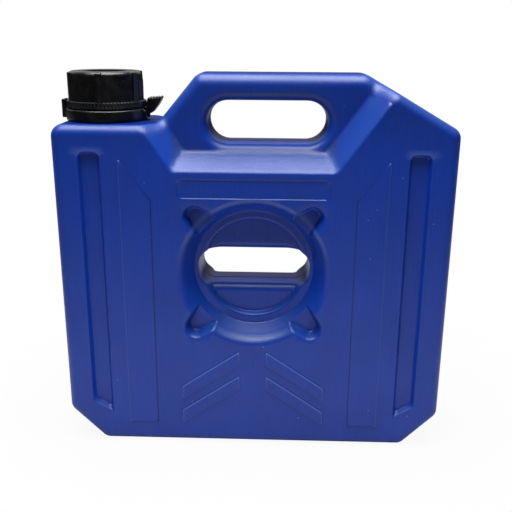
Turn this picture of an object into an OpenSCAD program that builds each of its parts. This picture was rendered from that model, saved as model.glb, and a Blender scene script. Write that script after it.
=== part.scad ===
// Flat five litre fuel canister: a blow-moulded tank with a carrying handle, a recessed
// centre slot for a pack mount, stiffening grooves, and a screw closure with a ratchet lock.
// The pouring spout is stored upside down inside the filler neck.
// X runs along the width, Y from the front face to the back, and Z up from the base.

/* [Tank] */
// Overall width
tank_w = 300; // [280:1:330]
// Overall height, up to the top of the handle
tank_h = 295; // [290:1:306]
// Depth between the front face and the back face
tank_d = 80; // [72:1:96]
// Thickness of the moulded wall
wall = 2.5; // [1.8:0.1:3.2]
// Rounding where the front and back faces meet the rim
rim_r = 7.5; // [5:0.5:8.5]
// Rounding of the outline's corners, seen from the front
corner_r = 9; // [8.5:0.5:12]
// Cut at 45 degrees across the two lower corners
foot_cut = 28; // [20:0.5:36]
// Drop from the handle's top to the shoulder that carries the filler neck
shoulder_drop = 36; // [30:0.5:44]
// Length of the shoulder, from the left side to the foot of the handle
shoulder_w = 77; // [74:0.5:86]

/* [Handle] */
// Distance that the handle's left slope leans over, from its foot to its top
slope_run = 30.2; // [20:0.1:40]
// Width of the sloping cut from the handle's top down to the right side
far_cut_w = 67.8; // [50:0.5:90]
// Height of that cut
far_cut_h = 39; // [25:0.5:55]
// Thickness of the handle from front to back
handle_t = 44; // [38:1:56]
// Rounding along the handle's edges
handle_r = 8.5; // [5:0.5:8.5]
// Height of the hand hole
hole_h = 31.8; // [26:0.2:36]
// Material left above the hand hole
hole_top = 19.5; // [15:0.5:26]
// Gap in X from the handle's upper left corner to the hand hole
hole_gap_l = 6.9; // [5:0.1:20]
// Gap in X from the handle's upper right corner to the hand hole
hole_gap_r = 27.3; // [15:0.1:40]
// Rounding around the hand hole's mouth
hole_r = 7.4; // [4:0.2:8]

/* [Ramp between the body and the handle] */
// Drop from the handle's top to the ramp's foot on the front face
ramp_drop = 69.4; // [65:0.2:74]
// Width of the ramp's foot
ramp_w = 122; // [110:1:130]
// Width of the ramp itself, seen from the front
ramp_run = 12.7; // [10:0.1:18]
// Lean of the ramp's left side from the horizontal
ramp_lean_l = 57; // [52:1:65]
// Lean of the ramp's right side from the horizontal
ramp_lean_r = 54; // [50:1:62]

/* [Centre recess] */
// Height of the recess's centre
recess_z = 147; // [142:0.5:150]
// Radius of the recess at the face
recess_r = 56.5; // [53:0.5:58]
// Radius at the foot of the recess's cone
cone_r = 46.4; // [44:0.2:50]
// Depth of the cone and of the ring at its foot
cone_depth = 16.7; // [12:0.1:20]
// Radius of the disc inside the ring
disc_r = 40; // [36:0.5:42]
// Depth of the disc
disc_depth = 22; // [19:0.5:27]
// Length of the slot that goes right through
slot_w = 87; // [70:0.5:88]
// Height of that slot
slot_h = 29.2; // [24:0.2:34]
// Drop of the slot's middle below the recess's centre
slot_drop = 1; // [0:0.2:3]
// Distance from the centre to the outer end of each corner pocket
pocket_reach = 71.5; // [67:0.5:73]
// Width of each corner pocket
pocket_w = 16.8; // [12:0.2:18]
// Depth of each corner pocket
pocket_depth = 9; // [6:0.5:11]

/* [Face relief] */
// Distance from the tank's side to the near edge of a stiffening groove
groove_edge = 20; // [16:0.5:24]
// Width of a stiffening groove
groove_w = 16.4; // [12:0.2:20]
// Depth of a stiffening groove
groove_depth = 4.5; // [3:0.5:6]
// Width of a groove's sloping wall, seen from the front
groove_draft = 2.8; // [1.5:0.1:4]
// Drop from the handle's top to a groove's upper end
groove_drop = 55; // [52:1:70]
// Height of a groove's lower end at its inner side
groove_foot = 26; // [22:0.5:40]
// Rise of a groove's lower end across its width
groove_rise = 10; // [4:0.2:14]
// Height by which panels and chevrons stand proud
relief = 0.8; // [0.4:0.1:1.2]
// Gap between a stiffening groove and the side panel beside it
panel_gap = 13.6; // [8:0.2:16]
// Width of a side panel
panel_w = 23; // [18:0.5:26]
// Height of a side panel's lower end
panel_foot = 18; // [14:0.5:24]
// Drop from the handle's top to a side panel's point
panel_top_drop = 60.5; // [57:0.5:69]
// Drop from a side panel's point to its elbow
panel_drop = 30.5; // [24:0.5:36]
// Width of the sunk label field
label_w = 114; // [90:1:118]
// Height of the sunk label field
label_h = 14.3; // [10:0.1:16]
// Gap between the label field and the ramp's foot
label_gap = 5.6; // [3:0.1:8]
// Depth of the label field
label_depth = 0.7; // [0.3:0.1:1]
// Distance from the centre line to the inner end of a chevron bar
chevron_x = 10.7; // [8:0.1:16]
// Horizontal length of a chevron bar
chevron_w = 45.8; // [30:0.2:54]
// Height of a chevron bar
chevron_h = 11; // [7:0.5:13]
// Height of the upper bar's inner end
chevron_top = 81.8; // [77:0.2:84]
// Drop of a chevron bar from its inner end to its outer end
chevron_drop = 31.2; // [20:0.2:38]
// Vertical step from one chevron bar to the next
chevron_pitch = 21.2; // [15:0.2:24]

/* [Filler neck] */
// Distance from the tank's left side to the neck's axis
neck_edge = 35.1; // [33:0.1:38]
// Outer radius of the neck
neck_r = 22.5; // [21:0.1:24]
// Thickness of the neck's wall
neck_wall = 2.8; // [2:0.1:3.4]
// Plain length of the neck above its thread
neck_land = 0.8; // [0.5:0.1:4]
// Rise of the thread in one turn
thread_lead = 5; // [4:0.25:6]
// Number of turns in the thread
thread_turns = 2; // [1.5:0.25:2.25]
// Radial height of the thread's ridge
thread_h = 1.6; // [1.2:0.1:1.8]
// Width of the ridge's foot as a share of the lead
ridge_foot = 0.5; // [0.4:0.05:0.55]
// Width of the ridge's crest as a share of the lead
ridge_crest = 0.25; // [0.15:0.05:0.3]

/* [Screw cap] */
// Outer radius of the cap between its grip ribs
cap_r = 28; // [26.8:0.1:29]
// Thickness of the cap's top
cap_top_t = 3.2; // [2.5:0.1:4]
// Radius of the opening in the cap's top
cap_hole_r = 16.2; // [14:0.2:18.4]
// Rounding of the cap's upper edge
cap_edge_r = 3.2; // [2:0.2:3.4]
// Number of grip ribs
rib_count = 6; // [4:1:8]
// Width of a grip rib
rib_w = 4.6; // [4:0.2:7]
// Height by which a grip rib stands out
rib_out = 1.2; // [0.8:0.1:2]
// Turn of the first rib from the X axis
rib_turn = 32; // [0:1:59]
// Outer radius of the ratchet teeth
tooth_r = 30.4; // [30:0.1:31.6]
// Number of ratchet teeth
tooth_count = 72; // [40:2:80]
// Depth of the ratchet teeth
tooth_depth = 1; // [0.6:0.1:1.4]
// Height of the toothed ring
tooth_h = 4.7; // [4:0.1:6]

/* [Lock collar and lever] */
// Outer radius of the collar
collar_r = 31; // [30.6:0.1:32]
// Height of the collar
collar_h = 9; // [7:0.2:10]
// Gap between the collar and the cap
cap_gap = 1; // [0.6:0.1:2]
// Bevel of the collar's outer edges
collar_bevel = 1.4; // [0.5:0.1:2]
// Distance from the neck's axis to the outer side of the guard post
post_reach = 34; // [33:0.1:34.4]
// Width of the guard post, from front to back
post_w = 10; // [6:0.5:14]
// Height of the guard post's top above the shoulder
post_h = 15.6; // [13:0.2:17]
// Height of the guard post's foot above the shoulder
post_lift = 1.6; // [1:0.2:3]
// Thickness of the guard post
post_t = 2.8; // [2:0.1:3.2]
// Width of the lever, from front to back
lever_w = 12; // [8:0.5:16]
// Thickness of the cheeks that hold the lever's barrel
cheek_t = 2; // [1.5:0.1:3]
// Distance that the cheeks reach out past the collar
cheek_out = 1; // [1:0.2:3]
// Height of the lever's thumb pad above the shoulder
lever_h = 17.8; // [16:0.2:20]
// Distance that the thumb pad reaches out from the lever's inner side
lever_reach = 12.4; // [9:0.2:15]
// Distance from the hinge to the outer side of the lever's root
lever_root = 2.8; // [2:0.1:3.4]
// Radius of the lever's hinge barrel
barrel_r = 1.7; // [1.4:0.1:2]
// Thickness of the thumb pad at its tip
pad_t = 2.2; // [1.5:0.1:3]
// Number of ribs on the thumb pad
pad_ribs = 5; // [3:1:7]

/* [Seals and stopper] */
// Thickness of each rubber gasket
gasket_t = 2; // [1.5:0.1:2.5]
// Outer radius of the stopper, the gaskets and the spout's flange
seal_r = 22.4; // [20.9:0.1:23]
// Thickness of the stopper's rim
stopper_t = 3; // [2.5:0.1:3.5]
// Width of the stopper's finger ring
finger_w = 2.5; // [1.5:0.25:4]
// Height of the finger ring above the stopper's rim
finger_h = 1.5; // [0.5:0.25:2.5]
// Depth of the dish inside the finger ring
dish = 0.6; // [0.2:0.1:1]
// Thickness of the spout's flange
flange_t = 2.5; // [2:0.1:3]

/* [Pouring spout] */
// Outer radius of the corrugated hose
hose_r = 17; // [15:0.25:17.5]
// Wall of the flange's tube, the hose and the nozzle
spout_wall = 1.8; // [1.4:0.1:2.2]
// Length of the flange's tube
stub_len = 24; // [20:1:34]
// Length over which the hose grips the flange's tube and the nozzle
cuff_len = 10; // [6:0.5:14]
// Number of corrugations in the hose
hose_folds = 16; // [8:1:20]
// Length of one corrugation
fold_pitch = 6; // [5:0.5:6.5]
// Depth of a corrugation
fold_depth = 2; // [1:0.25:2.5]
// Length of the nozzle below the hose's cuff
nozzle_len = 42; // [30:1:48]
// Length over which the nozzle narrows to its spout
taper_len = 8; // [5:0.5:12]
// Outer radius of the nozzle's tip
tip_r = 9; // [7:0.25:10.5]

/* [Hidden] */

$fn = 64;
// Steps in a quarter turn of a rounded tank edge
edge_steps = 5;
// Segments in one turn of a thread
thread_steps = 36;
// Overlap that lets a cut run clear of a face
over = 1;
// Bevel of the fittings' small edges
bevel = 1;
// Angle through which a through slot's rounded mouth turns
flare = 75;
// Turn from the neck's thread to the cap's, which puts one ridge between the other's turns
thread_phase = 180;
// Share of a ratchet tooth's pitch that its steep side takes
tooth_back = 0.1;
// Share of a corrugation's length that each flank and the crest take
fold_share = 0.3;
// Gap between pieces that move past each other
slip = 0.3;
// Gap between a seal and the face it closes on
seal_gap = 0.15;

half_w = tank_w / 2;
half_d = tank_d / 2;
shoulder_z = tank_h - shoulder_drop;
ramp_z = tank_h - ramp_drop;
groove_top = tank_h - groove_drop;
panel_top = tank_h - panel_top_drop;
slot_z = recess_z - slot_drop;
handle_l = -half_w + shoulder_w + slope_run;
handle_rt = half_w - far_cut_w;
hole_l = handle_l + hole_gap_l;
hole_w = handle_rt - hole_gap_r - hole_l;
hole_x = hole_l + hole_w / 2;
hole_z = tank_h - hole_top - hole_h / 2;
ramp_depth = (tank_d - handle_t) / 2;

neck_x = -half_w + neck_edge;
bore_r = neck_r - neck_wall;
crest_r = neck_r + thread_h;

// Heights along the neck: the cap's foot clears the collar, and the thread starts above it
cap_foot = shoulder_z + collar_h + cap_gap;
thread_z = cap_foot + slip + thread_lead * ridge_foot / 2;
neck_top = thread_z + thread_lead * (thread_turns + ridge_foot / 2) + neck_land;

// Heights of the stack that the cap holds down, from the neck's rim upwards
flange_z = neck_top + gasket_t;
lid_gasket_z = flange_z + flange_t + seal_gap;
stopper_z = lid_gasket_z + gasket_t;
cap_under_z = stopper_z + stopper_t + slip;
cap_z = cap_under_z + cap_top_t;

// The cap's bore clears the neck's thread and its ridge clears the neck
cap_bore_r = crest_r + 2 * slip;
cap_crest_r = max(neck_r, seal_r) + 2 * slip;

lever_x = neck_x + tooth_r + 2 * slip;
hinge_x = neck_x + collar_r - barrel_r / 2;
hinge_z = shoulder_z + (collar_h + cap_gap) / 2;
pad_rib_r = (lever_reach - 2 * bevel) / pad_ribs / 2;

finger_r = cap_hole_r - 4 * slip;
cuff_r = hose_r - fold_depth;
stub_r = cuff_r - spout_wall;
stub_foot = flange_z - stub_len;
nozzle_z = stub_foot - hose_folds * fold_pitch;
root_foot = -cuff_len - bevel;

// The tank's outline seen from the front, counter-clockwise from the lower left
tank_outline = [
    [-half_w + foot_cut, 0], [half_w - foot_cut, 0], [half_w, foot_cut],
    [half_w, tank_h - far_cut_h], [handle_rt, tank_h], [handle_l, tank_h],
    [handle_l - slope_run, shoulder_z], [-half_w, shoulder_z], [-half_w, foot_cut]
];

// The handle's own outline, which runs down into the body
handle_root_z = ramp_z - 3 * ramp_run;
slope_dir = [slope_run, tank_h - shoulder_z];
far_dir = [far_cut_w, -far_cut_h];
far_share = (half_w - groove_edge - handle_rt) / far_cut_w;
handle_outline = [
    [handle_l - slope_dir.x * (tank_h - ramp_z) / slope_dir.y, handle_root_z],
    [half_w - groove_edge - groove_w, handle_root_z],
    [handle_rt, tank_h] + far_dir * far_share,
    [handle_rt, tank_h], [handle_l, tank_h],
    [handle_l - slope_dir.x * (tank_h - ramp_z) / slope_dir.y, ramp_z]
];

// The mouth of the ramped pocket on the front face, open at the top
pocket_sky = tank_h + 4 * ramp_run;
ramp_mouth = [
    [-ramp_w / 2, ramp_z], [ramp_w / 2, ramp_z],
    [ramp_w / 2 + (pocket_sky - ramp_z) / tan(ramp_lean_r), pocket_sky],
    [-ramp_w / 2 - (pocket_sky - ramp_z) / tan(ramp_lean_l), pocket_sky]
];

// ---- Plane geometry ----

// Inward normal of the edge from a to b of a counter-clockwise outline
function inward(a, b) = let (d = (b - a) / norm(b - a)) [-d.y, d.x];

// Shift from a corner to the meeting point of its two edges moved inwards by one
function mitre(n1, n2) = (n1 + n2) / (1 + n1 * n2);

// Outline moved inwards by d, with sharp corners
function inset(pts, d) = let (n = len(pts)) [
    for (i = [0:n - 1])
        pts[i] + d * mitre(inward(pts[(i + n - 1) % n], pts[i]), inward(pts[i], pts[(i + 1) % n]))
];

// Arc around one corner of radius r, on the outline moved inwards by d
function corner(p, n1, n2, r, d) =
    let (bulge = cross(n1, n2) > 0 ? 1 : -1,
         centre = p + bulge * r * mitre(n1, n2),
         from = atan2(n1.y, n1.x),
         sweep = bulge * acos(n1 * n2),
         steps = edge_steps)
    [for (k = [0:steps])
        let (a = from + sweep * k / steps) centre + (d - bulge * r) * [cos(a), sin(a)]];

// Outline with every corner rounded to r, then moved inwards by d
function rounded(pts, r, d) = let (n = len(pts)) [
    for (i = [0:n - 1])
        each corner(pts[i], inward(pts[(i + n - 1) % n], pts[i]),
                    inward(pts[i], pts[(i + 1) % n]), r, d)
];

// Outline of a slot with round ends, w long and h high, grown by g
function obround(w, h, g) = [
    for (side = [1, -1], k = [0:12])
        let (a = k * 15 - side * 90)
        [side * (w - h) / 2 + (h / 2 + g) * cos(a), (h / 2 + g) * sin(a)]
];

// ---- Solids from stacked outlines ----

// Solid through a stack of outlines with equal numbers of points, each at its own Y
module loft(ys, outlines) {
    m = len(outlines[0]);
    last = len(ys) - 1;
    points = [for (k = [0:last], p = outlines[k]) [p.x, ys[k], p.y]];
    sides = [for (k = [0:last - 1], j = [0:m - 1])
        [k * m + j, k * m + (j + 1) % m, (k + 1) * m + (j + 1) % m, (k + 1) * m + j]];
    front = [for (j = [m - 1:-1:0]) j];
    back = [for (j = [0:m - 1]) last * m + j];
    polyhedron(points, concat([front], sides, [back]), convexity = 6);
}

// Slab between y = -half and y = half with rounded corners and rims, shrunk by g
module slab(pts, r, half, rim, g) {
    e = rim - g;
    turn = [for (k = [0:edge_steps]) 90 * k / edge_steps];
    flat = half - rim;
    ys = concat([for (t = turn) -flat - e * cos(t)], [for (t = turn) flat + e * sin(t)]);
    insets = concat([for (t = turn) rim - e * sin(t)], [for (t = turn) rim - e * cos(t)]);
    loft(ys, [for (d = insets) rounded(pts, r, d)]);
}

// Cutter for a slot through a slab of the given half thickness, flared at both faces
module flared_slot(w, h, half, rim, g) {
    e = rim - g;
    turn = [for (k = [0:edge_steps]) flare * k / edge_steps];
    flat = half - rim;
    run = e * (1 - sin(flare)) + over;
    ys = concat([-flat - e - over], [for (t = turn) -flat - e * sin(flare - t)],
                [for (t = turn) flat + e * sin(t)], [flat + e + over]);
    wide = g + e * (1 - cos(flare)) + run * tan(flare);
    grows = concat([wide], [for (t = turn) g + e * (1 - cos(flare - t))],
                   [for (t = turn) g + e * (1 - cos(t))], [wide]);
    loft(ys, [for (k = grows) obround(w, h, k)]);
}

// Turns a shape drawn in X and Y, and extruded up, to stand in the front face at depth y
module on_face(y) translate([0, y, 0]) rotate([90, 0, 0]) children();

// Repeats a shape on the front and on the back
module both_faces() for (k = [0, 1]) mirror([0, k, 0]) children();

// Repeats a shape on the left and on the right
module both_sides() for (k = [0, 1]) mirror([k, 0, 0]) children();

// Helical ridge around Z, from radius root to radius crest, with its foot at z = 0
module thread(root, crest, turns) {
    count = round(turns * thread_steps);
    foot_h = thread_lead * ridge_foot;
    crest_h = thread_lead * ridge_crest;
    rings = [for (i = [0:count])
        let (a = 360 * i / thread_steps, z = thread_lead * i / thread_steps)
        [for (q = [[root, -foot_h / 2], [crest, -crest_h / 2], [crest, crest_h / 2], [root, foot_h / 2]])
            [q.x * cos(a), q.x * sin(a), z + q.y]]];
    turned = crest > root;
    quads = [for (i = [0:count - 1], j = [0:3])
        [4 * i + j, 4 * i + (j + 1) % 4, 4 * i + 4 + (j + 1) % 4, 4 * i + 4 + j]];
    caps = [[3, 2, 1, 0], [for (j = [0:3]) 4 * count + j]];
    faces = concat(quads, caps);
    polyhedron([for (ring = rings, p = ring) p],
               turned ? faces : [for (f = faces) [for (j = [len(f) - 1:-1:0]) f[j]]], convexity = 4);
}

// ---- Tank features, each grown by g to leave the wall's thickness around the cavity ----

// Ramped pocket that thins the body down to the handle, on the front
module ramp_pocket(g) {
    slant = norm([ramp_run, ramp_depth]) / ramp_depth;
    loft([-half_d - over, -handle_t / 2 + g],
         [inset(ramp_mouth, -g * slant - over * ramp_run / ramp_depth),
          inset(ramp_mouth, ramp_run * (1 + g / ramp_depth) - g * slant)]);
}

// Room inside the ramp that the handle's own rounded slab fills
module handle_room(g)
    on_face(handle_t / 2 - g) linear_extrude(handle_t - 2 * g)
        polygon(inset(ramp_mouth, ramp_run * (1 + g / ramp_depth)
                                  - g * norm([ramp_run, ramp_depth]) / ramp_depth));

// Round recess with a cone, a ring and a deeper disc, on the front
module recess(g)
    translate([0, -half_d, recess_z]) rotate([-90, 0, 0]) rotate_extrude()
        polygon([[0, -over], [recess_r + g + over * (recess_r - cone_r) / cone_depth, -over],
                 [cone_r + g, cone_depth + g], [disc_r + g, cone_depth + g],
                 [disc_r + g, disc_depth + g], [0, disc_depth + g]]);

// Four pockets that cut the recess's cone on the diagonals, on the front
module corner_pockets(g)
    translate([0, -half_d + pocket_depth + g, recess_z]) rotate([90, 0, 0])
        for (a = [45:90:315]) rotate(a) linear_extrude(pocket_depth + g + over) {
            translate([cone_r, -pocket_w / 2 - g])
                square([pocket_reach - pocket_w / 2 - cone_r, pocket_w + 2 * g]);
            translate([pocket_reach - pocket_w / 2, 0]) circle(pocket_w / 2 + g);
        }

// Slot through the disc
module centre_slot(g)
    on_face(half_d) linear_extrude(tank_d) translate([0, slot_z]) {
        square([slot_w - slot_h, slot_h + 2 * g], center = true);
        for (s = [-1, 1]) translate([s * (slot_w - slot_h) / 2, 0]) circle(slot_h / 2 + g);
    }

// Strap groove with sloping walls, on the right of the front
module side_groove(g) {
    outer = half_w - groove_edge;
    mouth = [[outer - groove_w, groove_foot], [outer, groove_foot + groove_rise],
             [outer, groove_top], [outer - groove_w, groove_top]];
    slope = groove_draft / groove_depth;
    loft([-half_d - over, -half_d + groove_depth + g],
         [inset(mouth, -g - over * slope), inset(mouth, groove_draft - g)]);
}

// Raised panel with a pointed top, on the right of the front
module side_panel() {
    outer = half_w - groove_edge - groove_w - panel_gap;
    on_face(-half_d + wall / 2) linear_extrude(wall / 2 + relief)
        polygon([[outer - panel_w, panel_foot], [outer, panel_foot], [outer, panel_top],
                 [outer - panel_w, panel_top - panel_drop]]);
}

// Two raised slanting bars, on the right of the front
module chevrons()
    on_face(-half_d + wall / 2) linear_extrude(wall / 2 + relief)
        for (k = [0, 1]) translate([chevron_x, chevron_top - k * chevron_pitch])
            polygon([[0, -chevron_h], [chevron_w, -chevron_h - chevron_drop],
                     [chevron_w, -chevron_drop], [0, 0]]);

// Shallow sunk field for a label, on the front
module label_field()
    on_face(-half_d + label_depth) linear_extrude(label_depth + over)
        translate([-label_w / 2, ramp_z - label_gap - label_h]) square([label_w, label_h]);

// Body and handle without their relief, shrunk by g
module skin(g) {
    difference() {
        union() {
            difference() {
                slab(tank_outline, corner_r, half_d, rim_r, g);
                both_faces() ramp_pocket(g);
                handle_room(g);
            }
            slab(handle_outline, corner_r, handle_t / 2, handle_r, g);
        }
        translate([hole_x, 0, hole_z]) flared_slot(hole_w, hole_h, handle_t / 2, hole_r, g);
        both_faces() {
            recess(g);
            corner_pockets(g);
            both_sides() side_groove(g);
        }
        centre_slot(g);
    }
}

// ---- Sub-parts ----

// Hollow tank with its handle, neck and relief
module tank_shell() color("#20399b") {
    difference() {
        union() {
            skin(0);
            both_faces() both_sides() {
                side_panel();
                chevrons();
            }
            translate([neck_x, 0, shoulder_z - wall / 2])
                cylinder(r = neck_r, h = neck_top - shoulder_z + wall / 2);
            translate([neck_x, 0, thread_z]) thread(neck_r - neck_wall / 3, crest_r, thread_turns);
        }
        difference() {
            skin(wall);
            both_faces() translate([0, label_depth, 0]) label_field();
        }
        both_faces() label_field();
        translate([neck_x, 0, shoulder_z - 2 * wall])
            cylinder(r = bore_r, h = neck_top - shoulder_z + 3 * wall);
    }
}

// Ring that snaps round the neck's foot, with a guard post and the cheeks of the lever's hinge
module lock_collar() color("#161718") {
    cheek_w = lever_w + 2 * (slip + cheek_t);
    translate([neck_x, 0, shoulder_z]) difference() {
        union() {
            rotate_extrude() polygon([
                [neck_r + slip, 0], [collar_r - collar_bevel, 0], [collar_r, collar_bevel],
                [collar_r, collar_h - collar_bevel], [collar_r - collar_bevel, collar_h],
                [neck_r + slip, collar_h]]);
            translate([-post_reach, -post_w / 2, post_lift])
                cube([post_t, post_w, post_h - post_lift]);
            translate([-post_reach, -post_w / 2, post_lift])
                cube([post_reach - collar_r + post_t, post_w, collar_h - bevel - post_lift]);
            translate([collar_r - barrel_r - cheek_out, -cheek_w / 2, bevel])
                cube([barrel_r + 2 * cheek_out, cheek_w, collar_h - 2 * bevel]);
        }
        translate([hinge_x - neck_x, 0, hinge_z - shoulder_z]) rotate([90, 0, 0])
            linear_extrude(lever_w + 2 * slip, center = true) {
                circle(barrel_r + slip);
                translate([0, -barrel_r - slip]) square([2 * lever_root, collar_h]);
            }
    }
}

// Release lever that pivots in the collar and carries the pawl and a ribbed thumb pad
module lock_lever() color("#161718") {
    foot = lever_x;
    top = shoulder_z + lever_h;
    rotate([90, 0, 0]) linear_extrude(lever_w, center = true) {
        translate([hinge_x, hinge_z]) circle(barrel_r);
        polygon([[hinge_x, hinge_z - barrel_r], [hinge_x + lever_root, hinge_z],
                 [foot + lever_reach - bevel, top - pad_t], [foot + lever_reach, top],
                 [foot + bevel, top - bevel], [foot + bevel, cap_foot + tooth_h - bevel],
                 [foot, cap_foot + tooth_h / 2], [foot + bevel / 2, hinge_z + barrel_r],
                 [hinge_x - barrel_r, hinge_z]]);
        for (k = [0:pad_ribs - 1])
            translate([foot + bevel + pad_rib_r * (2 * k + 1),
                       top - bevel * (1 - (k + 0.5) / pad_ribs)]) circle(pad_rib_r);
    }
}

// Ring nut with grip ribs, a ratchet skirt and an open top
module screw_cap() color("#161718") {
    body_h = cap_z - cap_foot;
    translate([neck_x, 0, 0]) {
        difference() {
            union() {
                translate([0, 0, cap_foot]) rotate_extrude() difference() {
                    union() {
                        square([cap_r, body_h - cap_edge_r]);
                        square([cap_r - cap_edge_r, body_h]);
                        translate([cap_r - cap_edge_r, body_h - cap_edge_r]) circle(cap_edge_r);
                    }
                    translate([-cap_r, -over]) square([cap_r, body_h + 2 * over]);
                }
                translate([0, 0, cap_foot]) linear_extrude(tooth_h) polygon([
                    for (i = [0:tooth_count - 1], k = [0, 1])
                        let (a = 360 * (i + tooth_back * k) / tooth_count,
                             r = tooth_r - tooth_depth * k)
                        [r * cos(a), r * sin(a)]]);
                for (i = [0:rib_count - 1]) rotate(rib_turn + 360 * i / rib_count)
                    translate([cap_bore_r + bevel, -rib_w / 2, cap_foot])
                        cube([cap_r + rib_out - cap_bore_r - bevel, rib_w, body_h - bevel]);
            }
            translate([0, 0, cap_foot - over]) cylinder(r = cap_bore_r, h = cap_under_z - cap_foot + over);
            cylinder(r = cap_hole_r, h = cap_z + over);
        }
        translate([0, 0, thread_z]) rotate(thread_phase)
            thread(cap_bore_r + (cap_r - cap_bore_r) / 4, cap_crest_r, thread_turns);
    }
}

// Rigid disc that the cap presses down to close the mouth
module stopper_disc() color("#1b1c1e")
    translate([neck_x, 0, stopper_z]) rotate_extrude()
        polygon([[0, 0], [seal_r, 0], [seal_r, stopper_t], [finger_r, stopper_t],
                 [finger_r - finger_h / 2, stopper_t + finger_h],
                 [finger_r - finger_w, stopper_t + finger_h],
                 [finger_r - finger_w - finger_h / 2, stopper_t - dish], [0, stopper_t - dish]]);

// Flat rubber ring
module gasket(inner, z) color("#2a2a2a")
    translate([neck_x, 0, z]) difference() {
        cylinder(r = seal_r, h = gasket_t);
        translate([0, 0, -over]) cylinder(r = inner, h = gasket_t + 2 * over);
    }

// Rubber ring under the stopper
module stopper_gasket() gasket(stub_r - spout_wall, lid_gasket_z);

// Rubber ring between the spout's flange and the neck's rim
module spout_gasket() gasket(stub_r + slip, neck_top);

// Flange and stub tube of the spout, hanging in the neck
module spout_flange() color("#1b1c1e")
    translate([neck_x, 0, flange_z]) difference() {
        union() {
            cylinder(r = seal_r, h = flange_t);
            translate([0, 0, -stub_len]) cylinder(r = stub_r, h = stub_len);
        }
        translate([0, 0, -stub_len - over])
            cylinder(r = stub_r - spout_wall, h = stub_len + flange_t + 2 * over);
    }

// Corrugated hose whose cuffs grip the stub tube and the nozzle's root
module spout_hose() color("#1b1c1e")
    translate([neck_x, 0, nozzle_z]) rotate_extrude() {
        folds = [for (k = [0:hose_folds - 1], q = [[0, 0], [1, 1], [2, 1], [3, 0]])
            [cuff_r + fold_depth * q.y, (k + fold_share * q.x) * fold_pitch]];
        outside = concat([[cuff_r, -cuff_len]], folds,
                         [[cuff_r, hose_folds * fold_pitch + cuff_len]]);
        inside = [for (k = [len(outside) - 1:-1:0]) outside[k] - [spout_wall, 0]];
        polygon(concat(outside, inside));
    }

// Rigid nozzle at the hose's end, seen with its tip down
module spout_nozzle() color("#1b1c1e")
    translate([neck_x, 0, nozzle_z]) rotate_extrude() {
        neck_foot = root_foot - taper_len;
        outside = [[stub_r, 0], [stub_r, root_foot], [tip_r + bevel, neck_foot],
                   [tip_r, -cuff_len - nozzle_len]];
        inside = [for (k = [len(outside) - 1:-1:0]) outside[k] - [spout_wall, 0]];
        polygon(concat(outside, inside));
    }

tank_shell();
lock_collar();
lock_lever();
screw_cap();
stopper_disc();
stopper_gasket();
spout_flange();
spout_gasket();
spout_hose();
spout_nozzle();
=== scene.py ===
"""Dresses the flat fuel canister: its skin, closure, seals and stored spout, and its studio."""
import logging
import math
from dataclasses import dataclass
from enum import Enum

import bmesh
import bpy
import numpy as np
from mathutils import Matrix, Vector
from mathutils.geometry import delaunay_2d_cdt


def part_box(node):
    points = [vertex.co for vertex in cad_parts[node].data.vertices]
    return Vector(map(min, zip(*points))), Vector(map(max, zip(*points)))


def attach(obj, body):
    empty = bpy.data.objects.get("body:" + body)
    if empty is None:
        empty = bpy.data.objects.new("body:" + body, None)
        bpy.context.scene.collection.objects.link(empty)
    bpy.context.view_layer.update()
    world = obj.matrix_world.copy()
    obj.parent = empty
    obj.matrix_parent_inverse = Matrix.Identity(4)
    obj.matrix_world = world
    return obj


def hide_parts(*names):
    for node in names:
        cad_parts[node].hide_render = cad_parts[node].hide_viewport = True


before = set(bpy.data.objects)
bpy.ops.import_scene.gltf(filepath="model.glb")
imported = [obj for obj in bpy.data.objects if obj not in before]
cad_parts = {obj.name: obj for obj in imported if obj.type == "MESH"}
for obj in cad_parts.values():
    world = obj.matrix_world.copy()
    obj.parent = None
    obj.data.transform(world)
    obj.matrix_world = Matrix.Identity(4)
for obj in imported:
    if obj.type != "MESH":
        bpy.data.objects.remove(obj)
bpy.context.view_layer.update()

LOG = logging.getLogger("canister")
MM = 0.001
WELD_MM = 0.02
ARC_STEP = 9.0
SPOTS_AT_ONCE = 4000
NECK_X = -114.9
PLASTIC_IOR = 1.48
WHITE = (1.0, 1.0, 1.0, 1.0)
Socket = bpy.types.NodeSocket
Span = tuple[float, float]


class Side(Enum):
    """Side of the centre line that a feature lies on, with the sign of its X."""

    RIGHT = 1
    LEFT = -1

    def place(self, corners: list | np.ndarray) -> list[tuple]:
        """Corners that are given for the right, on this side and still counter-clockwise."""
        return [(self.value * x, *rest) for x, *rest in corners[::self.value]]


# ---------------------------------------------------------------- plane and profile maths


def smooth_max(a: np.ndarray, b: np.ndarray, k: float) -> np.ndarray:
    """Larger of two fields, blended by a parabola where they differ by less than k.

    Args:
        a: first field.
        b: second field.
        k: half width of the blend, in the fields' own units.

    Returns:
        The blended field.
    """
    h = np.clip(0.5 + 0.5 * (a - b) / k, 0.0, 1.0)
    return b + (a - b) * h + 0.5 * k * h * (1.0 - h)


def smooth_min(a: np.ndarray, b: np.ndarray, k: float) -> np.ndarray:
    """Smaller of two fields, blended as smooth_max does."""
    return -smooth_max(-np.asarray(a), -np.asarray(b), k)


def smooth_step(t: np.ndarray) -> np.ndarray:
    """Rises from 0 to 1 with level ends as t goes from 0 to 1."""
    t = np.clip(t, 0.0, 1.0)
    return t * t * (3.0 - 2.0 * t)


def near_line(gap: np.ndarray, width: float, reach: float = 1.6) -> np.ndarray:
    """1 where the gap is small beside the width, and 0 from reach times the width on."""
    return smooth_step(reach - np.abs(gap) / width)


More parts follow.
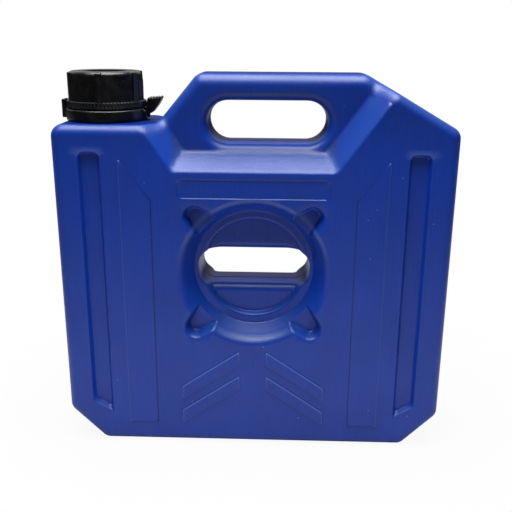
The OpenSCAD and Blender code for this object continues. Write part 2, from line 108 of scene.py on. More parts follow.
def edge_normals(corners: np.ndarray) -> np.ndarray:
    """Inward unit normals of the edges of a counter-clockwise outline, one per starting corner."""
    step = np.roll(corners, -1, axis=0) - corners
    step = step / np.linalg.norm(step, axis=1)[:, None]
    return np.stack([-step[:, 1], step[:, 0]], axis=1)


@dataclass
class Outline:
    """Closed counter-clockwise path of points with inward normals.

    A corner of radius r is an arc about the point that lies r inside both edges, so the path
    moved inwards by d is simply point + d * normal.
    """

    points: np.ndarray
    normals: np.ndarray

    @classmethod
    def rounded(cls, corners: list[tuple[float, float, float]], spacing: float,
                arc_step: float = ARC_STEP) -> "Outline":
        """Builds the path from corners (x, z, radius).

        Args:
            corners: corner positions and radii, counter-clockwise.
            spacing: largest distance between points along a straight edge.
            arc_step: largest turn between points on an arc, in degrees.

        Returns:
            The sampled outline.
        """
        spots = np.array([c[:2] for c in corners], float)
        radii = np.array([c[2] for c in corners], float)
        after = edge_normals(spots)
        before = np.roll(after, 1, axis=0)
        points, normals = [], []
        for spot, radius, n1, n2 in zip(spots, radii, before, after):
            turn = math.atan2(n1[0] * n2[1] - n1[1] * n2[0], float(n1 @ n2))
            bulge = 1.0 if turn > 0 else -1.0
            centre = spot + bulge * radius * (n1 + n2) / (1.0 + float(n1 @ n2))
            count = max(2, int(math.ceil(abs(math.degrees(turn)) / arc_step)) + 1)
            angle = math.atan2(n1[1], n1[0]) + turn * np.linspace(0.0, 1.0, count)
            normal = np.stack([np.cos(angle), np.sin(angle)], axis=1)
            points.append(centre - bulge * radius * normal)
            normals.append(normal)
        out_p, out_n = [], []
        for i, (arc, normal) in enumerate(zip(points, normals)):
            out_p.append(arc)
            out_n.append(normal)
            follow = points[(i + 1) % len(points)][0]
            count = int(np.linalg.norm(follow - arc[-1]) // spacing)
            share = np.arange(1, count + 1)[:, None] / (count + 1.0)
            out_p.append(arc[-1] + (follow - arc[-1]) * share)
            out_n.append(np.repeat(normal[-1:], count, axis=0))
        return cls(np.concatenate(out_p), np.concatenate(out_n))

    @classmethod
    def slot(cls, centre: tuple[float, float], width: float, height: float,
             spacing: float) -> "Outline":
        """Builds a slot with round ends: two half circles joined by straight lines.

        Args:
            centre: the slot's middle.
            width: length over the round ends.
            height: distance between the straight sides.
            spacing: largest distance between points along a straight side.

        Returns:
            The sampled outline.
        """
        half = (width - height) / 2.0
        count = int(round(180.0 / ARC_STEP)) + 1
        turn = np.radians(np.linspace(-90.0, 90.0, count))
        ray = np.stack([np.cos(turn), np.sin(turn)], axis=1)
        straight = max(1, int(2 * half // spacing))
        share = np.linspace(half, -half, straight + 2)[1:-1]
        top = np.stack([share, np.full_like(share, height / 2)], axis=1)
        up = np.tile([0.0, 1.0], (straight, 1))
        points = np.concatenate([ray * height / 2 + [half, 0], top,
                                 -ray * height / 2 - [half, 0], -top])
        normals = -np.concatenate([ray, up, -ray, -up])
        return cls(points + np.array(centre), normals)

    def turned_out(self) -> "Outline":
        """The same path with its normals outwards, as the edge of an opening has them."""
        return Outline(self.points, -self.normals)

    def moved(self, distance: float | np.ndarray) -> np.ndarray:
        """Points of the path moved inwards by the distance, which may vary along it."""
        return self.points + self.normals * np.reshape(distance, (-1, 1))

    def offset(self, distance: float) -> np.ndarray:
        """Points of the path moved inwards, less those that then lie too near its far parts."""
        line = self.moved(distance)
        return line[signed_distance(line, self.points) > distance - 0.03]


def signed_distance(spots: np.ndarray, loop: np.ndarray) -> np.ndarray:
    """Distance from each spot to a closed loop of points, positive inside.

    The distance is the least over the loop's segments, and the side comes from how often a
    ray along X crosses them.

    Args:
        spots: positions, of shape (n, 2).
        loop: the loop's points, of shape (m, 2).

    Returns:
        Signed distances, of shape (n,).
    """
    a, b = loop, np.roll(loop, -1, axis=0)
    result = np.empty(len(spots))
    for start in range(0, len(spots), SPOTS_AT_ONCE):
        p = spots[start:start + SPOTS_AT_ONCE, None, :]
        along = b - a
        t = np.clip(((p - a) * along).sum(-1) / (along ** 2).sum(-1), 0.0, 1.0)
        gap = np.linalg.norm(p - a - t[..., None] * along, axis=-1).min(axis=1)
        spans = (a[:, 1] > p[..., 1]) != (b[:, 1] > p[..., 1])
        rise = np.where(np.abs(along[:, 1]) < 1e-12, 1e-12, along[:, 1])
        cross = a[:, 0] + (p[..., 1] - a[:, 1]) * along[:, 0] / rise
        inside = (spans & (p[..., 0] < cross)).sum(axis=1) % 2 == 1
        result[start:start + SPOTS_AT_ONCE] = np.where(inside, gap, -gap)
    return result


@dataclass
class Opening:
    """Opening through the tank: its edge, its rim's radii along it and the grid of its walls."""

    path: Outline
    rim: np.ndarray
    walls: np.ndarray


# ---------------------------------------------------------------- meshes


@dataclass
class Patch:
    """Part of a surface: points in millimetres and faces of three or four corners."""

    points: np.ndarray
    faces: np.ndarray

    @classmethod
    def grid(cls, points: np.ndarray, wrap: bool = False) -> "Patch":
        """Makes a patch from points on a grid of two parameters.

        Args:
            points: array of shape (rows, columns, 3).
            wrap: joins the last column to the first.

        Returns:
            The patch, with four-cornered faces.
        """
        rows, columns = points.shape[:2]
        index = np.arange(rows * columns).reshape(rows, columns)
        right = np.roll(index, -1, axis=1)
        if not wrap:
            index, right = index[:, :-1], right[:, :-1]
        quads = np.stack([index[:-1], right[:-1], right[1:], index[1:]], axis=-1).reshape(-1, 4)
        return cls(points.reshape(-1, 3), quads)

    def mirrored(self) -> "Patch":
        """The same patch reflected from front to back, with its faces still outwards."""
        return Patch(self.points * [1.0, -1.0, 1.0], self.faces[:, ::-1])


def piece_from(name: str, patches: list[Patch], material: bpy.types.Material,
               shade_angle: float | None = None) -> bpy.types.Object:
    """Joins patches into one object at the origin.

    Each vertex keeps how far it faces up, as the attribute "up", on which the finishes paint light
    and shade.

    Args:
        name: the piece's name.
        patches: the surface's parts, in millimetres.
        material: the finish of the whole piece.
        shade_angle: edges that turn by more degrees than this stay crisp.

    Returns:
        The linked object, in metres.
    """
    offset, faces = 0, []
    for patch in patches:
        faces.extend((patch.faces + offset).tolist())
        offset += len(patch.points)
    mesh = bpy.data.meshes.new(name)
    mesh.from_pydata((np.concatenate([p.points for p in patches]) * MM).tolist(), [], faces)
    work = bmesh.new()
    work.from_mesh(mesh)
    bmesh.ops.remove_doubles(work, verts=work.verts, dist=WELD_MM * MM)
    bmesh.ops.dissolve_degenerate(work, edges=work.edges, dist=1e-7)
    bmesh.ops.recalc_face_normals(work, faces=work.faces)
    for face in work.faces:
        face.smooth = True
    if shade_angle is not None:
        limit = math.radians(shade_angle)
        for edge in work.edges:
            edge.smooth = len(edge.link_faces) == 2 and edge.calc_face_angle() < limit
    open_edges = sum(1 for edge in work.edges if len(edge.link_faces) != 2)
    work.to_mesh(mesh)
    work.free()
    normals = np.empty(len(mesh.vertices) * 3)
    mesh.vertices.foreach_get("normal", normals)
    mesh.attributes.new("up", "FLOAT", "POINT").data.foreach_set("value", normals[2::3])
    mesh.materials.append(material)
    made = bpy.data.objects.new(name, mesh)
    bpy.context.scene.collection.objects.link(made)
    LOG.info("%s: %d faces, %d open edges", name, len(mesh.polygons), open_edges)
    return made


def revolve(profile: np.ndarray, centre: tuple[float, float], steps: int) -> np.ndarray:
    """Grid of points made by turning a profile of (radius, height) about a vertical axis.

    Args:
        profile: rows of radius and height, of shape (rows, 2).
        centre: the axis's X and Y.
        steps: points round the axis.

    Returns:
        Array of shape (rows, steps, 3).
    """
    angle = np.linspace(0.0, 2 * np.pi, steps, endpoint=False)
    radius, height = profile[:, :1], profile[:, 1:]
    return np.stack([centre[0] + radius * np.cos(angle), centre[1] + radius * np.sin(angle),
                     np.repeat(height, steps, axis=1)], axis=-1)


def slab_patches(outline: Outline, low_y: float, high_y: float, rim: float) -> list[Patch]:
    """Slab between two upright planes, cut to an outline of X and Z, with rounded rims.

    Each rim is a quarter circle: the outline is moved inwards by rim * (1 - sin) while Y runs
    out to the face by rim * (1 - cos).

    Args:
        outline: the slab's outline.
        low_y: the front face's Y.
        high_y: the back face's Y.
        rim: the rims' radius.

    Returns:
        The side with both rims, and the two faces.
    """
    turn = np.radians(np.linspace(0.0, 90.0, 5))
    inset = rim * (1.0 - np.sin(turn))
    front = low_y + rim * (1.0 - np.cos(turn))
    back = high_y - rim * (1.0 - np.cos(turn))
    rows = []
    for y, d in zip([*front, *back[::-1]], [*inset, *inset[::-1]]):
        loop = outline.moved(d)
        rows.append(np.stack([loop[:, 0], np.full(len(loop), y), loop[:, 1]], axis=1))
    index = np.arange(len(rows[0]))[None]
    return [Patch.grid(np.stack(rows), wrap=True), Patch(rows[0], index),
            Patch(rows[-1], index[:, ::-1])]


@dataclass(frozen=True)
class Thread:
    """Right-hand thread that the neck and the cap share. Sizes are in millimetres."""

    foot: float = 270.55
    lead: float = 5.0
    turns: float = 2.0
    height: float = 1.6
    half_w: float = 1.25
    flank_w: float = 0.62
    fade: float = 12.0

    def ridge(self, z: np.ndarray, angle: np.ndarray, ahead: float = 0.0) -> np.ndarray:
        """Height of the thread's ridge at places on a wall round the neck's axis.

        The ridge's crest is where the phase, the height over the lead less the turn, is a
        whole number, and it fades in and out at the ends of its turns.

        Args:
            z: heights.
            angle: directions from the axis, in radians.
            ahead: share of a turn by which this thread is ahead of the neck's.

        Returns:
            Heights, from 0 off the thread to the thread's own height on its crest.
        """
        turn = angle / (2 * math.pi)
        phase = (z - self.foot) / self.lead - turn + ahead
        lap = np.round(phase) + turn - ahead
        gap = np.abs(phase - np.round(phase)) * self.lead
        crest = smooth_step((self.half_w - gap) / self.flank_w)
        ends = smooth_step((lap + 0.02) * self.fade) * smooth_step((self.turns - lap) * self.fade)
        return self.height * crest * ends


# ---------------------------------------------------------------- finishes


def linear(code: str) -> tuple[float, float, float, float]:
    """Linear colour with full alpha from an sRGB hex code such as "#20399b"."""
    parts = [int(code[i:i + 2], 16) / 255.0 for i in (1, 3, 5)]
    lin = [p / 12.92 if p <= 0.04045 else ((p + 0.055) / 1.055) ** 2.4 for p in parts]
    return (*lin, 1.0)


class NodeGraph:
    """Node tree of a material or of the world, with short ways to add its parts."""

    def __init__(self, tree: bpy.types.NodeTree) -> None:
        """Takes the tree and empties it."""
        self.tree = tree
        tree.nodes.clear()

    def feed(self, node: bpy.types.Node, inputs: dict) -> None:
        """Links each input, named or numbered, to its socket, or sets it to its plain value."""
        for key, value in inputs.items():
            if isinstance(value, Socket):
                self.tree.links.new(value, node.inputs[key])
            else:
                node.inputs[key].default_value = value

    def node(self, kind: str, inputs: dict | None = None, **settings) -> bpy.types.Node:
        """Adds a node.

        Args:
            kind: the node's type, less the part that every shader node's type starts with.
            inputs: what feed gives to its inputs.
            **settings: properties of the node itself.

        Returns:
            The new node.
        """
        node = self.tree.nodes.new("ShaderNode" + kind)
        for key, value in settings.items():
            setattr(node, key, value)
        self.feed(node, inputs or {})
        return node

    def axis(self, place: Socket, number: int) -> Socket:
        """One coordinate of a place, by its number."""
        return self.node("SeparateXYZ", {0: place}).outputs[number]

    def combine(self, operation: str, a: Socket, b: Socket) -> Socket:
        """Two values joined by an operation such as MULTIPLY."""
        return self.node("Math", {0: a, 1: b}, operation=operation).outputs[0]

    def remap(self, value: Socket, start: Span, end: Span = (0.0, 1.0)) -> Socket:
        """The value moved from one range to another, and held inside it."""
        return self.node("MapRange", {"Value": value, "From Min": start[0], "From Max": start[1],
                                      "To Min": end[0], "To Max": end[1]}).outputs[0]

    def blend(self, share: Socket, a: str | Socket, b: str | Socket) -> Socket:
        """Mixes two colours, each a hex code or a socket."""
        a, b = (linear(c) if isinstance(c, str) else c for c in (a, b))
        return self.node("Mix", {0: share, 6: a, 7: b}, data_type="RGBA").outputs[2]


class Surface(NodeGraph):
    """Node tree of one material, whose patterns lie in the object's own coordinates."""

    def __init__(self, name: str) -> None:
        """Makes the material, with its shader joined to the output."""
        self.material = bpy.data.materials.new(name)
        self.material.use_nodes = True
        super().__init__(self.material.node_tree)
        self.shader = self.node("BsdfPrincipled")
        self.output = self.node("OutputMaterial", {"Surface": self.shader.outputs[0]})
        self.coords = self.node("TexCoord").outputs["Object"]

    def mark(self, name: str) -> Socket:
        """One of the mesh's own point attributes."""
        return self.node("Attribute", attribute_name=name).outputs["Fac"]

    def noise(self, cell_mm: tuple[float, float, float], detail: float) -> Socket:
        """Noise whose cells have the given size in millimetres along X, Y and Z."""
        scale = tuple(1.0 / (c * MM) for c in cell_mm)
        place = self.node("Mapping", {"Vector": self.coords, "Scale": scale}).outputs[0]
        inputs = {"Vector": place, "Scale": 1.0, "Detail": detail}
        return self.node("TexNoise", inputs).outputs["Fac"]

    def coat(self, base: str | Socket, coats: list[tuple[Socket, str | Socket]]) -> Socket:
        """Colour after each coat, a share and a colour, has been laid over the one before."""
        for share, colour in coats:
            base = self.blend(share, base, colour)
        return base

    def finish(self, inputs: dict, layers: list[tuple[Socket, float]]) -> bpy.types.Material:
        """Feeds the shader and stacks the relief on it.

        Args:
            inputs: what feed gives to the shader's inputs.
            layers: height fields, each with its depth in millimetres.

        Returns:
            The finished material.
        """
        self.feed(self.shader, inputs)
        normal = {}
        for height, depth in layers:
            bump = self.node("Bump", {"Height": height, "Strength": 1.0, "Distance": depth * MM,
                                      **normal})
            normal = {"Normal": bump.outputs[0]}
        self.feed(self.shader, normal)
        return self.material


@dataclass(frozen=True)
class BlowMouldedPolyethylene:
    """Blue high-density polyethylene blown against a machined mould.

    It is a waxy semi-matte plastic. The tool's fine cutter lines print through as faint
    streaks, upright on the faces and level on the ramps. The skin carries a fine pebble, pale
    dust specks and a few hairline scuffs, and its tone varies at random. Painted shade deepens
    it towards the handle, greys and darkens what faces up, and darkens the outer tops and the
    ramp's upper part most. Painted light brightens the openings' floors, and painted highlights
    and painted shade line the edges of the fields.
    """

    colour: str = "#0539a8"
    # deeper tone for the random pigment and for painted shade towards the handle
    deep_pigment_and_shade: str = "#042d87"
    # painted shade that greys and darkens what faces up
    up_light_and_shade: str = "#183f8e"
    # painted light on flat floors inside the openings
    wall: str = "#124ac8"
    # painted shade on the flat outer tops and the ramp's upper part
    top: str = "#0a2266"
    # pale cutter lines and scuffs, and painted highlights on the fields' edges
    scuff_and_highlight: str = "#5f7cc4"
    dust: str = "#9fb0d8"
    # painted shade along the fields' edges
    edge_shade: str = "#021550"
    roughness: float = 0.37
    speck_gap_mm: float = 14.0

    def build(self) -> bpy.types.Material:
        """Makes the material, with streaks along Z on the faces and along X on the ramps."""
        s = Surface("hdpe_blow_moulded_blue")
        ramp, up, edge = (s.mark(name) for name in ("ramp", "up", "edge"))
        height = s.axis(s.coords, 2)
        upright, level = s.noise((0.8, 4.0, 30.0), 3.0), s.noise((9.0, 0.5, 0.5), 3.0)
        streak = s.node("Mix", {0: ramp, 2: upright, 3: level}).outputs[0]
        pebble, cloud = s.noise((0.55, 0.55, 0.55), 2.0), s.noise((34.0, 34.0, 50.0), 2.0)
        scuff = s.noise((0.35, 9.0, 14.0), 4.0)
        flat = s.remap(up, (0.93, 0.99))
        outside = s.remap(height, (0.250, 0.252))
        shade = s.combine("MULTIPLY", s.remap(height, (0.229, 0.243), (0.3, 0.8)), ramp)
        grain = s.combine("ADD", s.remap(level, (0.42, 0.62), (0.0, 0.16)),
                          s.remap(pebble, (0.45, 0.6), (0.0, 0.22)))
        speck = s.node("TexVoronoi", {"Vector": s.coords, "Randomness": 1.0,
                                      "Scale": 1.0 / (self.speck_gap_mm * MM)}).outputs["Distance"]
        base = s.coat(self.colour, [
            # uneven pigment, then painted shade that deepens it towards the handle
            (s.remap(cloud, (0.3, 0.7), (0.0, 0.35)), self.deep_pigment_and_shade),
            (s.remap(height, (0.235, 0.27), (0.0, 0.7)), self.deep_pigment_and_shade),
            # cutter lines and hairline scuffs
            (s.remap(streak, (0.45, 0.8), (0.0, 0.07)), self.scuff_and_highlight),
            (s.remap(scuff, (0.71, 0.76), (0.0, 0.14)), self.scuff_and_highlight),
            # painted shade that greys and darkens what faces up, then on flat floors painted light
            # inside the openings and painted shade on the outer tops
            (s.remap(up, (0.25, 0.6), (0.0, 0.8)), self.up_light_and_shade),
            (flat, s.blend(outside, self.wall, self.top)),
            # painted shade that darkens the ramp upwards, then the ramp's brushed grain
            (shade, self.top),
            (s.combine("MULTIPLY", grain, ramp), self.scuff_and_highlight),
            # painted highlights and painted shade along the fields' edges, then dust
            (s.remap(edge, (0.0, 1.0), (0.0, 0.65)), self.scuff_and_highlight),
            (s.remap(edge, (-1.0, 0.0), (0.7, 0.0)), self.edge_shade),
            (s.remap(speck, (0.016, 0.034), (0.75, 0.0)), self.dust)])
        dull = s.combine("ADD", s.combine("MULTIPLY", flat, outside),
                         s.remap(shade, (0.0, 0.8), (0.0, 0.3)))
        gloss = (self.roughness - 0.03, self.roughness + 0.05)
        return s.finish({"Base Color": base, "Roughness": s.remap(cloud, (0.3, 0.7), gloss),
                         "Specular IOR Level": s.remap(dull, (0.0, 1.0), (0.5, 0.06)),
                         "IOR": PLASTIC_IOR},
                        [(streak, 0.04), (pebble, 0.1), (s.combine("MULTIPLY", level, ramp), 0.06)])


@dataclass(frozen=True)
class MouldedPolypropylene:
    """Black polypropylene from a lightly sparked mould.

    It is a dark satin with dusty, paler spots, and a painted highlight pales it where it faces up.
    """

    name: str = "polypropylene_black_satin"
    colour: str = "#0a0a0b"
    dusty: str = "#1c1c1d"
    # painted highlight on what faces up
    up_light_and_shade: str = "#484848"
    roughness: float = 0.3

    def build(self) -> bpy.types.Material:
        """Makes the material with a fine grain in its gloss and relief."""
        s = Surface(self.name)
        grain, cloud = s.noise((0.4, 0.4, 0.4), 2.0), s.noise((6.0, 6.0, 9.0), 3.0)
        base = s.coat(self.colour, [
            (s.remap(cloud, (0.5, 0.75), (0.0, 0.5)), self.dusty),
            # painted highlight where it faces up
            (s.remap(s.mark("up"), (0.55, 1.0), (0.0, 0.6)), self.up_light_and_shade)])
        gloss = (self.roughness - 0.05, self.roughness + 0.08)
        return s.finish({"Base Color": base, "Roughness": s.remap(cloud, (0.35, 0.65), gloss),
                         "IOR": PLASTIC_IOR}, [(grain, 0.03)])


@dataclass(frozen=True)
class NitrileRubber:
    """Dull black nitrile rubber with a dry, slightly mottled bloom."""

    colour: str = "#1c1c1d"
    bloom: str = "#353536"

    def build(self) -> bpy.types.Material:
        """Makes the material."""
        s = Surface("nitrile_rubber_black")
        mottle = s.noise((2.5, 2.5, 2.5), 4.0)
        base = s.coat(self.colour, [(s.remap(mottle, (0.4, 0.7), (0.0, 0.7)), self.bloom)])
        return s.finish({"Base Color": base, "Roughness": s.remap(mottle, (0.3, 0.7), (0.62, 0.8))},
                        [(s.noise((0.3, 0.3, 0.3), 2.0), 0.04)])


# ---------------------------------------------------------------- tank


@dataclass
class TankSkin:
    """Outer skin of the tank, built as a front half and its reflection.

    The front half is a relief over the plane of X and Z: at each place the skin lies at
    y = -half_thickness(x, z). Quarter-round rims join it to the side wall and to the walls of
    the hand hole and the centre slot. Every size is in millimetres.
    """

    width: float
    height: float
    depth: float
    material: bpy.types.Material
    # body: rims, corners, the shoulder on the left and the cut corner on the right
    rim_r: float = 7.5
    handle_rim_r: float = 9.0
    corner_r: float = 9.2
    handle_corner_r: tuple[float, float] = (14.0, 10.0)  # right, left
    slope_foot_r: float = 5.0
    foot_cut: float = 28.0
    shoulder_z: float = 259.0
    shoulder_w: float = 77.0
    slope_run: float = 30.2
    far_cut: tuple[float, float] = (67.8, 39.0)  # run, drop
    # handle, with its hole and the ramps that thin the body towards it
    handle_t: float = 44.0
    hole: tuple[float, float, float, float] = (9.5, 259.6, 90.8, 31.8)  # middle, width, height
    hole_rim_r: float = 7.4
    ramp_foot: tuple[float, float] = (122.0, 225.6)  # width, height above the base
    ramp_run: float = 12.7
    ramp_lean: tuple[float, float] = (57.0, 54.0)  # left and right ends, from upright
    ramp_corner_blend: float = 4.5
    ramp_blend: tuple[float, float] = (3.4, 4.0)  # mouth, foot
    # parting seam and the lean of the openings' walls
    draft: float = 0.01
    seam_h: float = 0.12
    opening_seam_h: float = 0.3
    seam_w: float = 0.6
    # centre recess: a cone down to a ring, then a step down to the disc round the slot
    recess_z: float = 147.0
    recess_r: float = 56.5
    cone_r: float = 46.4
    cone_depth: float = 16.7
    cone_blend: float = 0.7
    mouth_blend: float = 8.0
    step_r: float = 41.5
    step_edge_r: float = 2.5
    arc_end: float = 0.985  # share of the step's round edge, before its steep wall
    step_slope: float = 6.0
    disc_depth: float = 22.0
    slot: tuple[float, float, float] = (146.0, 87.0, 29.2)  # middle, width, height
    slot_corner_r: float = 11.5
    slot_rim_r: tuple[float, float] = (5.8, 1.3)  # sides, ends
    # corner pockets of the recess
    pocket_w: float = 16.8
    pocket_flare: float = 16.0
    pocket_reach: float = 71.5
    pocket_depth: float = 9.0
    pocket_slope: float = 3.3
    pocket_floor_blend: float = 3.5
    pocket_lip_blend: tuple[float, float] = (6.0, 0.5)  # at the walls, at the floor
    # side grooves
    groove_x: tuple[float, float] = (113.6, 130.0)
    groove_z: tuple[float, float, float] = (26.0, 36.0, 240.0)  # inner foot, outer foot, top
    groove_corner_r: float = 5.0
    groove_draft: float = 2.1
    groove_depth: float = 4.5
    groove_blend: float = 1.2
    # raised side panels and chevron bars, and the sunk label field
    relief: float = 0.8
    bevel_w: float = 0.75
    panel_x: tuple[float, float] = (77.0, 100.0)
    panel_z: tuple[float, float, float] = (18.0, 204.0, 234.5)  # foot, inner top, outer top
    bars: int = 2
    bar_x: tuple[float, float] = (10.7, 56.5)
    bar_top: float = 81.8
    bar_h: float = 11.0
    bar_drop: float = 31.2
    bar_pitch: float = 21.2
    label_half: float = 57.0
    label_z: tuple[float, float] = (205.7, 220.0)
    label_corner_r: float = 3.0
    label_depth: float = 0.7
    # filler neck
    neck_r: float = 22.5
    neck_top: float = 282.6
    neck_fillet: float = 2.0
    neck_rows: int = 56
    bore_r: float = 19.7
    thread: Thread = Thread()
    # sampling: rows of the strips, and the room that lines and field points leave
    wall_rows: int = 8
    opening_wall_rows: int = 6
    rim_rows: int = 9
    guard_gap: float = 0.8
    line_room: float = 0.7
    field_pitch: float = 6.0
    field_room: float = 2.5
    field_gap: float = 1.8

    def __post_init__(self) -> None:
        """Works out the corner points that several methods share."""
        half = self.width / 2
        self.handle_l = -half + self.shoulder_w + self.slope_run
        self.handle_rt = half - self.far_cut[0]
        r = self.corner_r
        self.corners = [
            (-half + self.foot_cut, 0.0, r), (half - self.foot_cut, 0.0, r),
            (half, self.foot_cut, r), (half, self.height - self.far_cut[1], r),
            (self.handle_rt, self.height, self.handle_corner_r[0]),
            (self.handle_l, self.height, self.handle_corner_r[1]),
            (self.handle_l - self.slope_run, self.shoulder_z, self.slope_foot_r),
            (-half, self.shoulder_z, r), (-half, self.foot_cut, r)]

    # -- relief of the front

    def ramp_distance(self, x: np.ndarray, z: np.ndarray) -> np.ndarray:
        """Distance inside the ramp's mouth: the least of its three edges, softly blended."""
        half, foot = self.ramp_foot[0] / 2, self.ramp_foot[1]
        left, right = (math.radians(a) for a in self.ramp_lean)
        from_left = (x + half) * math.sin(left) + (z - foot) * math.cos(left)
        from_right = (half - x) * math.sin(right) + (z - foot) * math.cos(right)
        k = self.ramp_corner_blend
        return smooth_min(smooth_min(from_left, from_right, k), z - foot, k)

    def groove_distance(self, x: np.ndarray, z: np.ndarray) -> np.ndarray:
        """Distance inside a side groove, with rounded upper corners."""
        ax = np.abs(x)
        inner, outer = self.groove_x
        low_in, low_out, top = self.groove_z
        rise = math.atan2(low_out - low_in, outer - inner)
        from_foot = (z - low_in) * math.cos(rise) - (ax - inner) * math.sin(rise)
        sides = np.minimum(ax - inner, outer - ax)
        r = self.groove_corner_r
        upper = top - z
        corner = np.hypot(np.maximum(r - sides, 0), np.maximum(r - upper, 0))
        body = np.where((sides < r) & (upper < r), r - corner, np.minimum(sides, upper))
        return smooth_min(body, from_foot, 1.5)

    def recess_drop(self, x: np.ndarray, z: np.ndarray) -> np.ndarray:
        """Depth of the centre recess: cone, ring and disc, joined by the corner pockets.

        A pocket is a round-ended notch that widens inwards. Its floor meets the cone at a
        crisp lip, and its walls meet the cone and the face in softer edges.
        """
        dz = z - self.recess_z
        r = np.hypot(x, dz)
        cone = (self.recess_r - r) * self.cone_depth / (self.recess_r - self.cone_r)
        cone = smooth_min(cone, np.full_like(r, self.cone_depth), self.cone_blend)
        along = (np.abs(x) + np.abs(dz)) / math.sqrt(2)
        across = np.abs(np.abs(x) - np.abs(dz)) / math.sqrt(2)
        end_r, flare = self.pocket_w / 2, math.radians(self.pocket_flare)
        inwards = self.pocket_reach - end_r - along
        beside = inwards * math.cos(flare) + across * math.sin(flare) > 0
        inside = end_r - np.where(beside, across * math.cos(flare) - inwards * math.sin(flare),
                                  np.hypot(inwards, across))
        floor = smooth_min(inside * self.pocket_slope, np.full_like(r, self.pocket_depth),
                           self.pocket_floor_blend)
        crisp = smooth_step((floor - self.pocket_depth + 3.0) / 2.5)
        soft, sharp = self.pocket_lip_blend
        notched = smooth_max(cone, floor, soft - (soft - sharp) * crisp)
        return smooth_max(notched, np.zeros_like(r), self.mouth_blend) + self.step_drop(r)

    def step_drop(self, r: np.ndarray) -> np.ndarray:
        """Depth of the disc below the ring: a round edge, then a steep wall."""
        share = np.clip((self.step_r - r) / self.step_edge_r, 0.0, 1.0)
        edge = self.step_edge_r * (1.0 - np.sqrt(1.0 - np.minimum(share, self.arc_end) ** 2))
        steep = self.step_r - self.arc_end * self.step_edge_r - r
        return np.minimum(edge + np.maximum(steep, 0.0) * self.step_slope,
                          self.disc_depth - self.cone_depth)

    def relief_height(self, x: np.ndarray, z: np.ndarray) -> np.ndarray:
        """Height of the raised panels and chevrons, less the sunk label field."""
        ax = np.abs(x)
        rise = np.zeros_like(x)
        for loop in self.relief_loops():
            inside = self.loop_distance(ax, z, loop)
            rise = rise + self.relief * smooth_step(inside / self.bevel_w + 0.5)
        sunk = self.label_distance(x, z)
        return rise - self.label_depth * smooth_step(sunk / self.bevel_w + 0.5)

    @staticmethod
    def loop_distance(x: np.ndarray, z: np.ndarray, loop: np.ndarray,
                      corner_r: float = 0.5) -> np.ndarray:
        """Distance inside a loop whose corners are rounded."""
        path = Outline.rounded([(*corner, corner_r) for corner in loop], 400.0, 12.0)
        spots = np.stack([x, z], axis=-1).reshape(-1, 2)
        return signed_distance(spots, path.points).reshape(x.shape)

    def relief_loops(self) -> list[np.ndarray]:
        """Corner points of the side panel, then of each chevron bar, on the right."""
        (inner, outer), (foot, low_top, high_top) = self.panel_x, self.panel_z
        loops = [np.array([(inner, foot), (outer, foot), (outer, high_top), (inner, low_top)])]
        x0, x1 = self.bar_x
        for k in range(self.bars):
            top = self.bar_top - k * self.bar_pitch
            foot = top - self.bar_h
            loops.append(np.array([(x0, foot), (x1, foot - self.bar_drop),
                                   (x1, top - self.bar_drop), (x0, top)]))
        return loops

    def label_loop(self) -> np.ndarray:
        """Corner points of the sunk label field."""
        half, (low, high) = self.label_half, self.label_z
        return np.array([(-half, low), (half, low), (half, high), (-half, high)])

    def label_distance(self, x: np.ndarray, z: np.ndarray) -> np.ndarray:
        """Distance inside the sunk label field."""
        return self.loop_distance(x, z, self.label_loop(), self.label_corner_r)

    def half_thickness(self, spots: np.ndarray) -> np.ndarray:
        """Half thickness of the tank at places (x, z): the body less its ramp, recess and
        grooves, plus its relief."""
        x, z = spots[..., 0], spots[..., 1]
        drop = (self.depth - self.handle_t) / 2
        slope = self.ramp_distance(x, z) * drop / self.ramp_run
        mouth, foot = self.ramp_blend
        ramp = smooth_min(smooth_max(slope, np.zeros_like(x), mouth), np.full_like(x, drop), foot)
        groove = self.groove_distance(x, z) * self.groove_depth / self.groove_draft
        groove = smooth_min(groove, np.full_like(x, self.groove_depth), self.groove_blend)
        groove = smooth_max(groove, np.zeros_like(x), self.groove_blend)
        return self.depth / 2 - ramp - self.recess_drop(x, z) - groove + self.relief_height(x, z)

    def edge_highlight_and_shade(self, x: np.ndarray, z: np.ndarray) -> np.ndarray:
        """Marks the edges of the fields: 1 where a highlight is painted on them, and -1 where shade
        is painted.

        The panels get a painted highlight on their outer edge and painted shade on their inner one.
        The bars get a painted highlight along their edges, brightest on top, and a painted shadow
        just outside their upper edge. The label gets painted shade all round, and the proud edges
        above the grooves and the recess get a painted highlight.
        """
        ax = np.abs(x)
        width = 0.5 * self.bevel_w
        panel, *bars = self.relief_loops()
        outer = 2.0 * smooth_step((ax - self.panel_x[1] + 3.0) / 3.0) - 1.0
        near = near_line(self.loop_distance(ax, z, panel), width, 1.5)
        edge_light = near * np.where(outer > 0, 0.5 * outer, outer)
        for loop in bars:
            inside = self.loop_distance(ax, z, loop)
            (x0, z0), (x1, z1) = loop[3], loop[2]
            above = smooth_step((z - z0 + (z0 - z1) * (ax - x0) / (x1 - x0)) / 2.0 + 2.0)
            edge_light = edge_light + (0.5 + 0.4 * above) * near_line(inside - 0.2, 0.3)
            edge_light = edge_light - 0.9 * above * near_line(inside + 0.75, 0.3)
        edge_light = edge_light - 0.35 * near_line(self.label_distance(x, z), width, 1.5)
        above = smooth_step((z - self.groove_z[2] + 5.0) / 4.0)
        edge_light = edge_light + 0.8 * above * near_line(self.groove_distance(x, z) + 0.35, 0.35)
        radius = np.hypot(x, z - self.recess_z)
        above = smooth_step((z - self.recess_z - 12.0) / 20.0)
        return edge_light + 0.5 * above * near_line(radius - self.recess_r - 0.6, 1.6, 1.5)

    # -- rings that bound the relief

    def rim_size(self, path: Outline) -> np.ndarray:
        """Radius of the rim along the outline, larger where the body is as thin as the handle."""
        drop = (self.depth - self.handle_t) / 2
        thin = (self.depth / 2 - self.half_thickness(path.moved(self.rim_r))) / drop
        return self.rim_r + (self.handle_rim_r - self.rim_r) * smooth_step(thin)

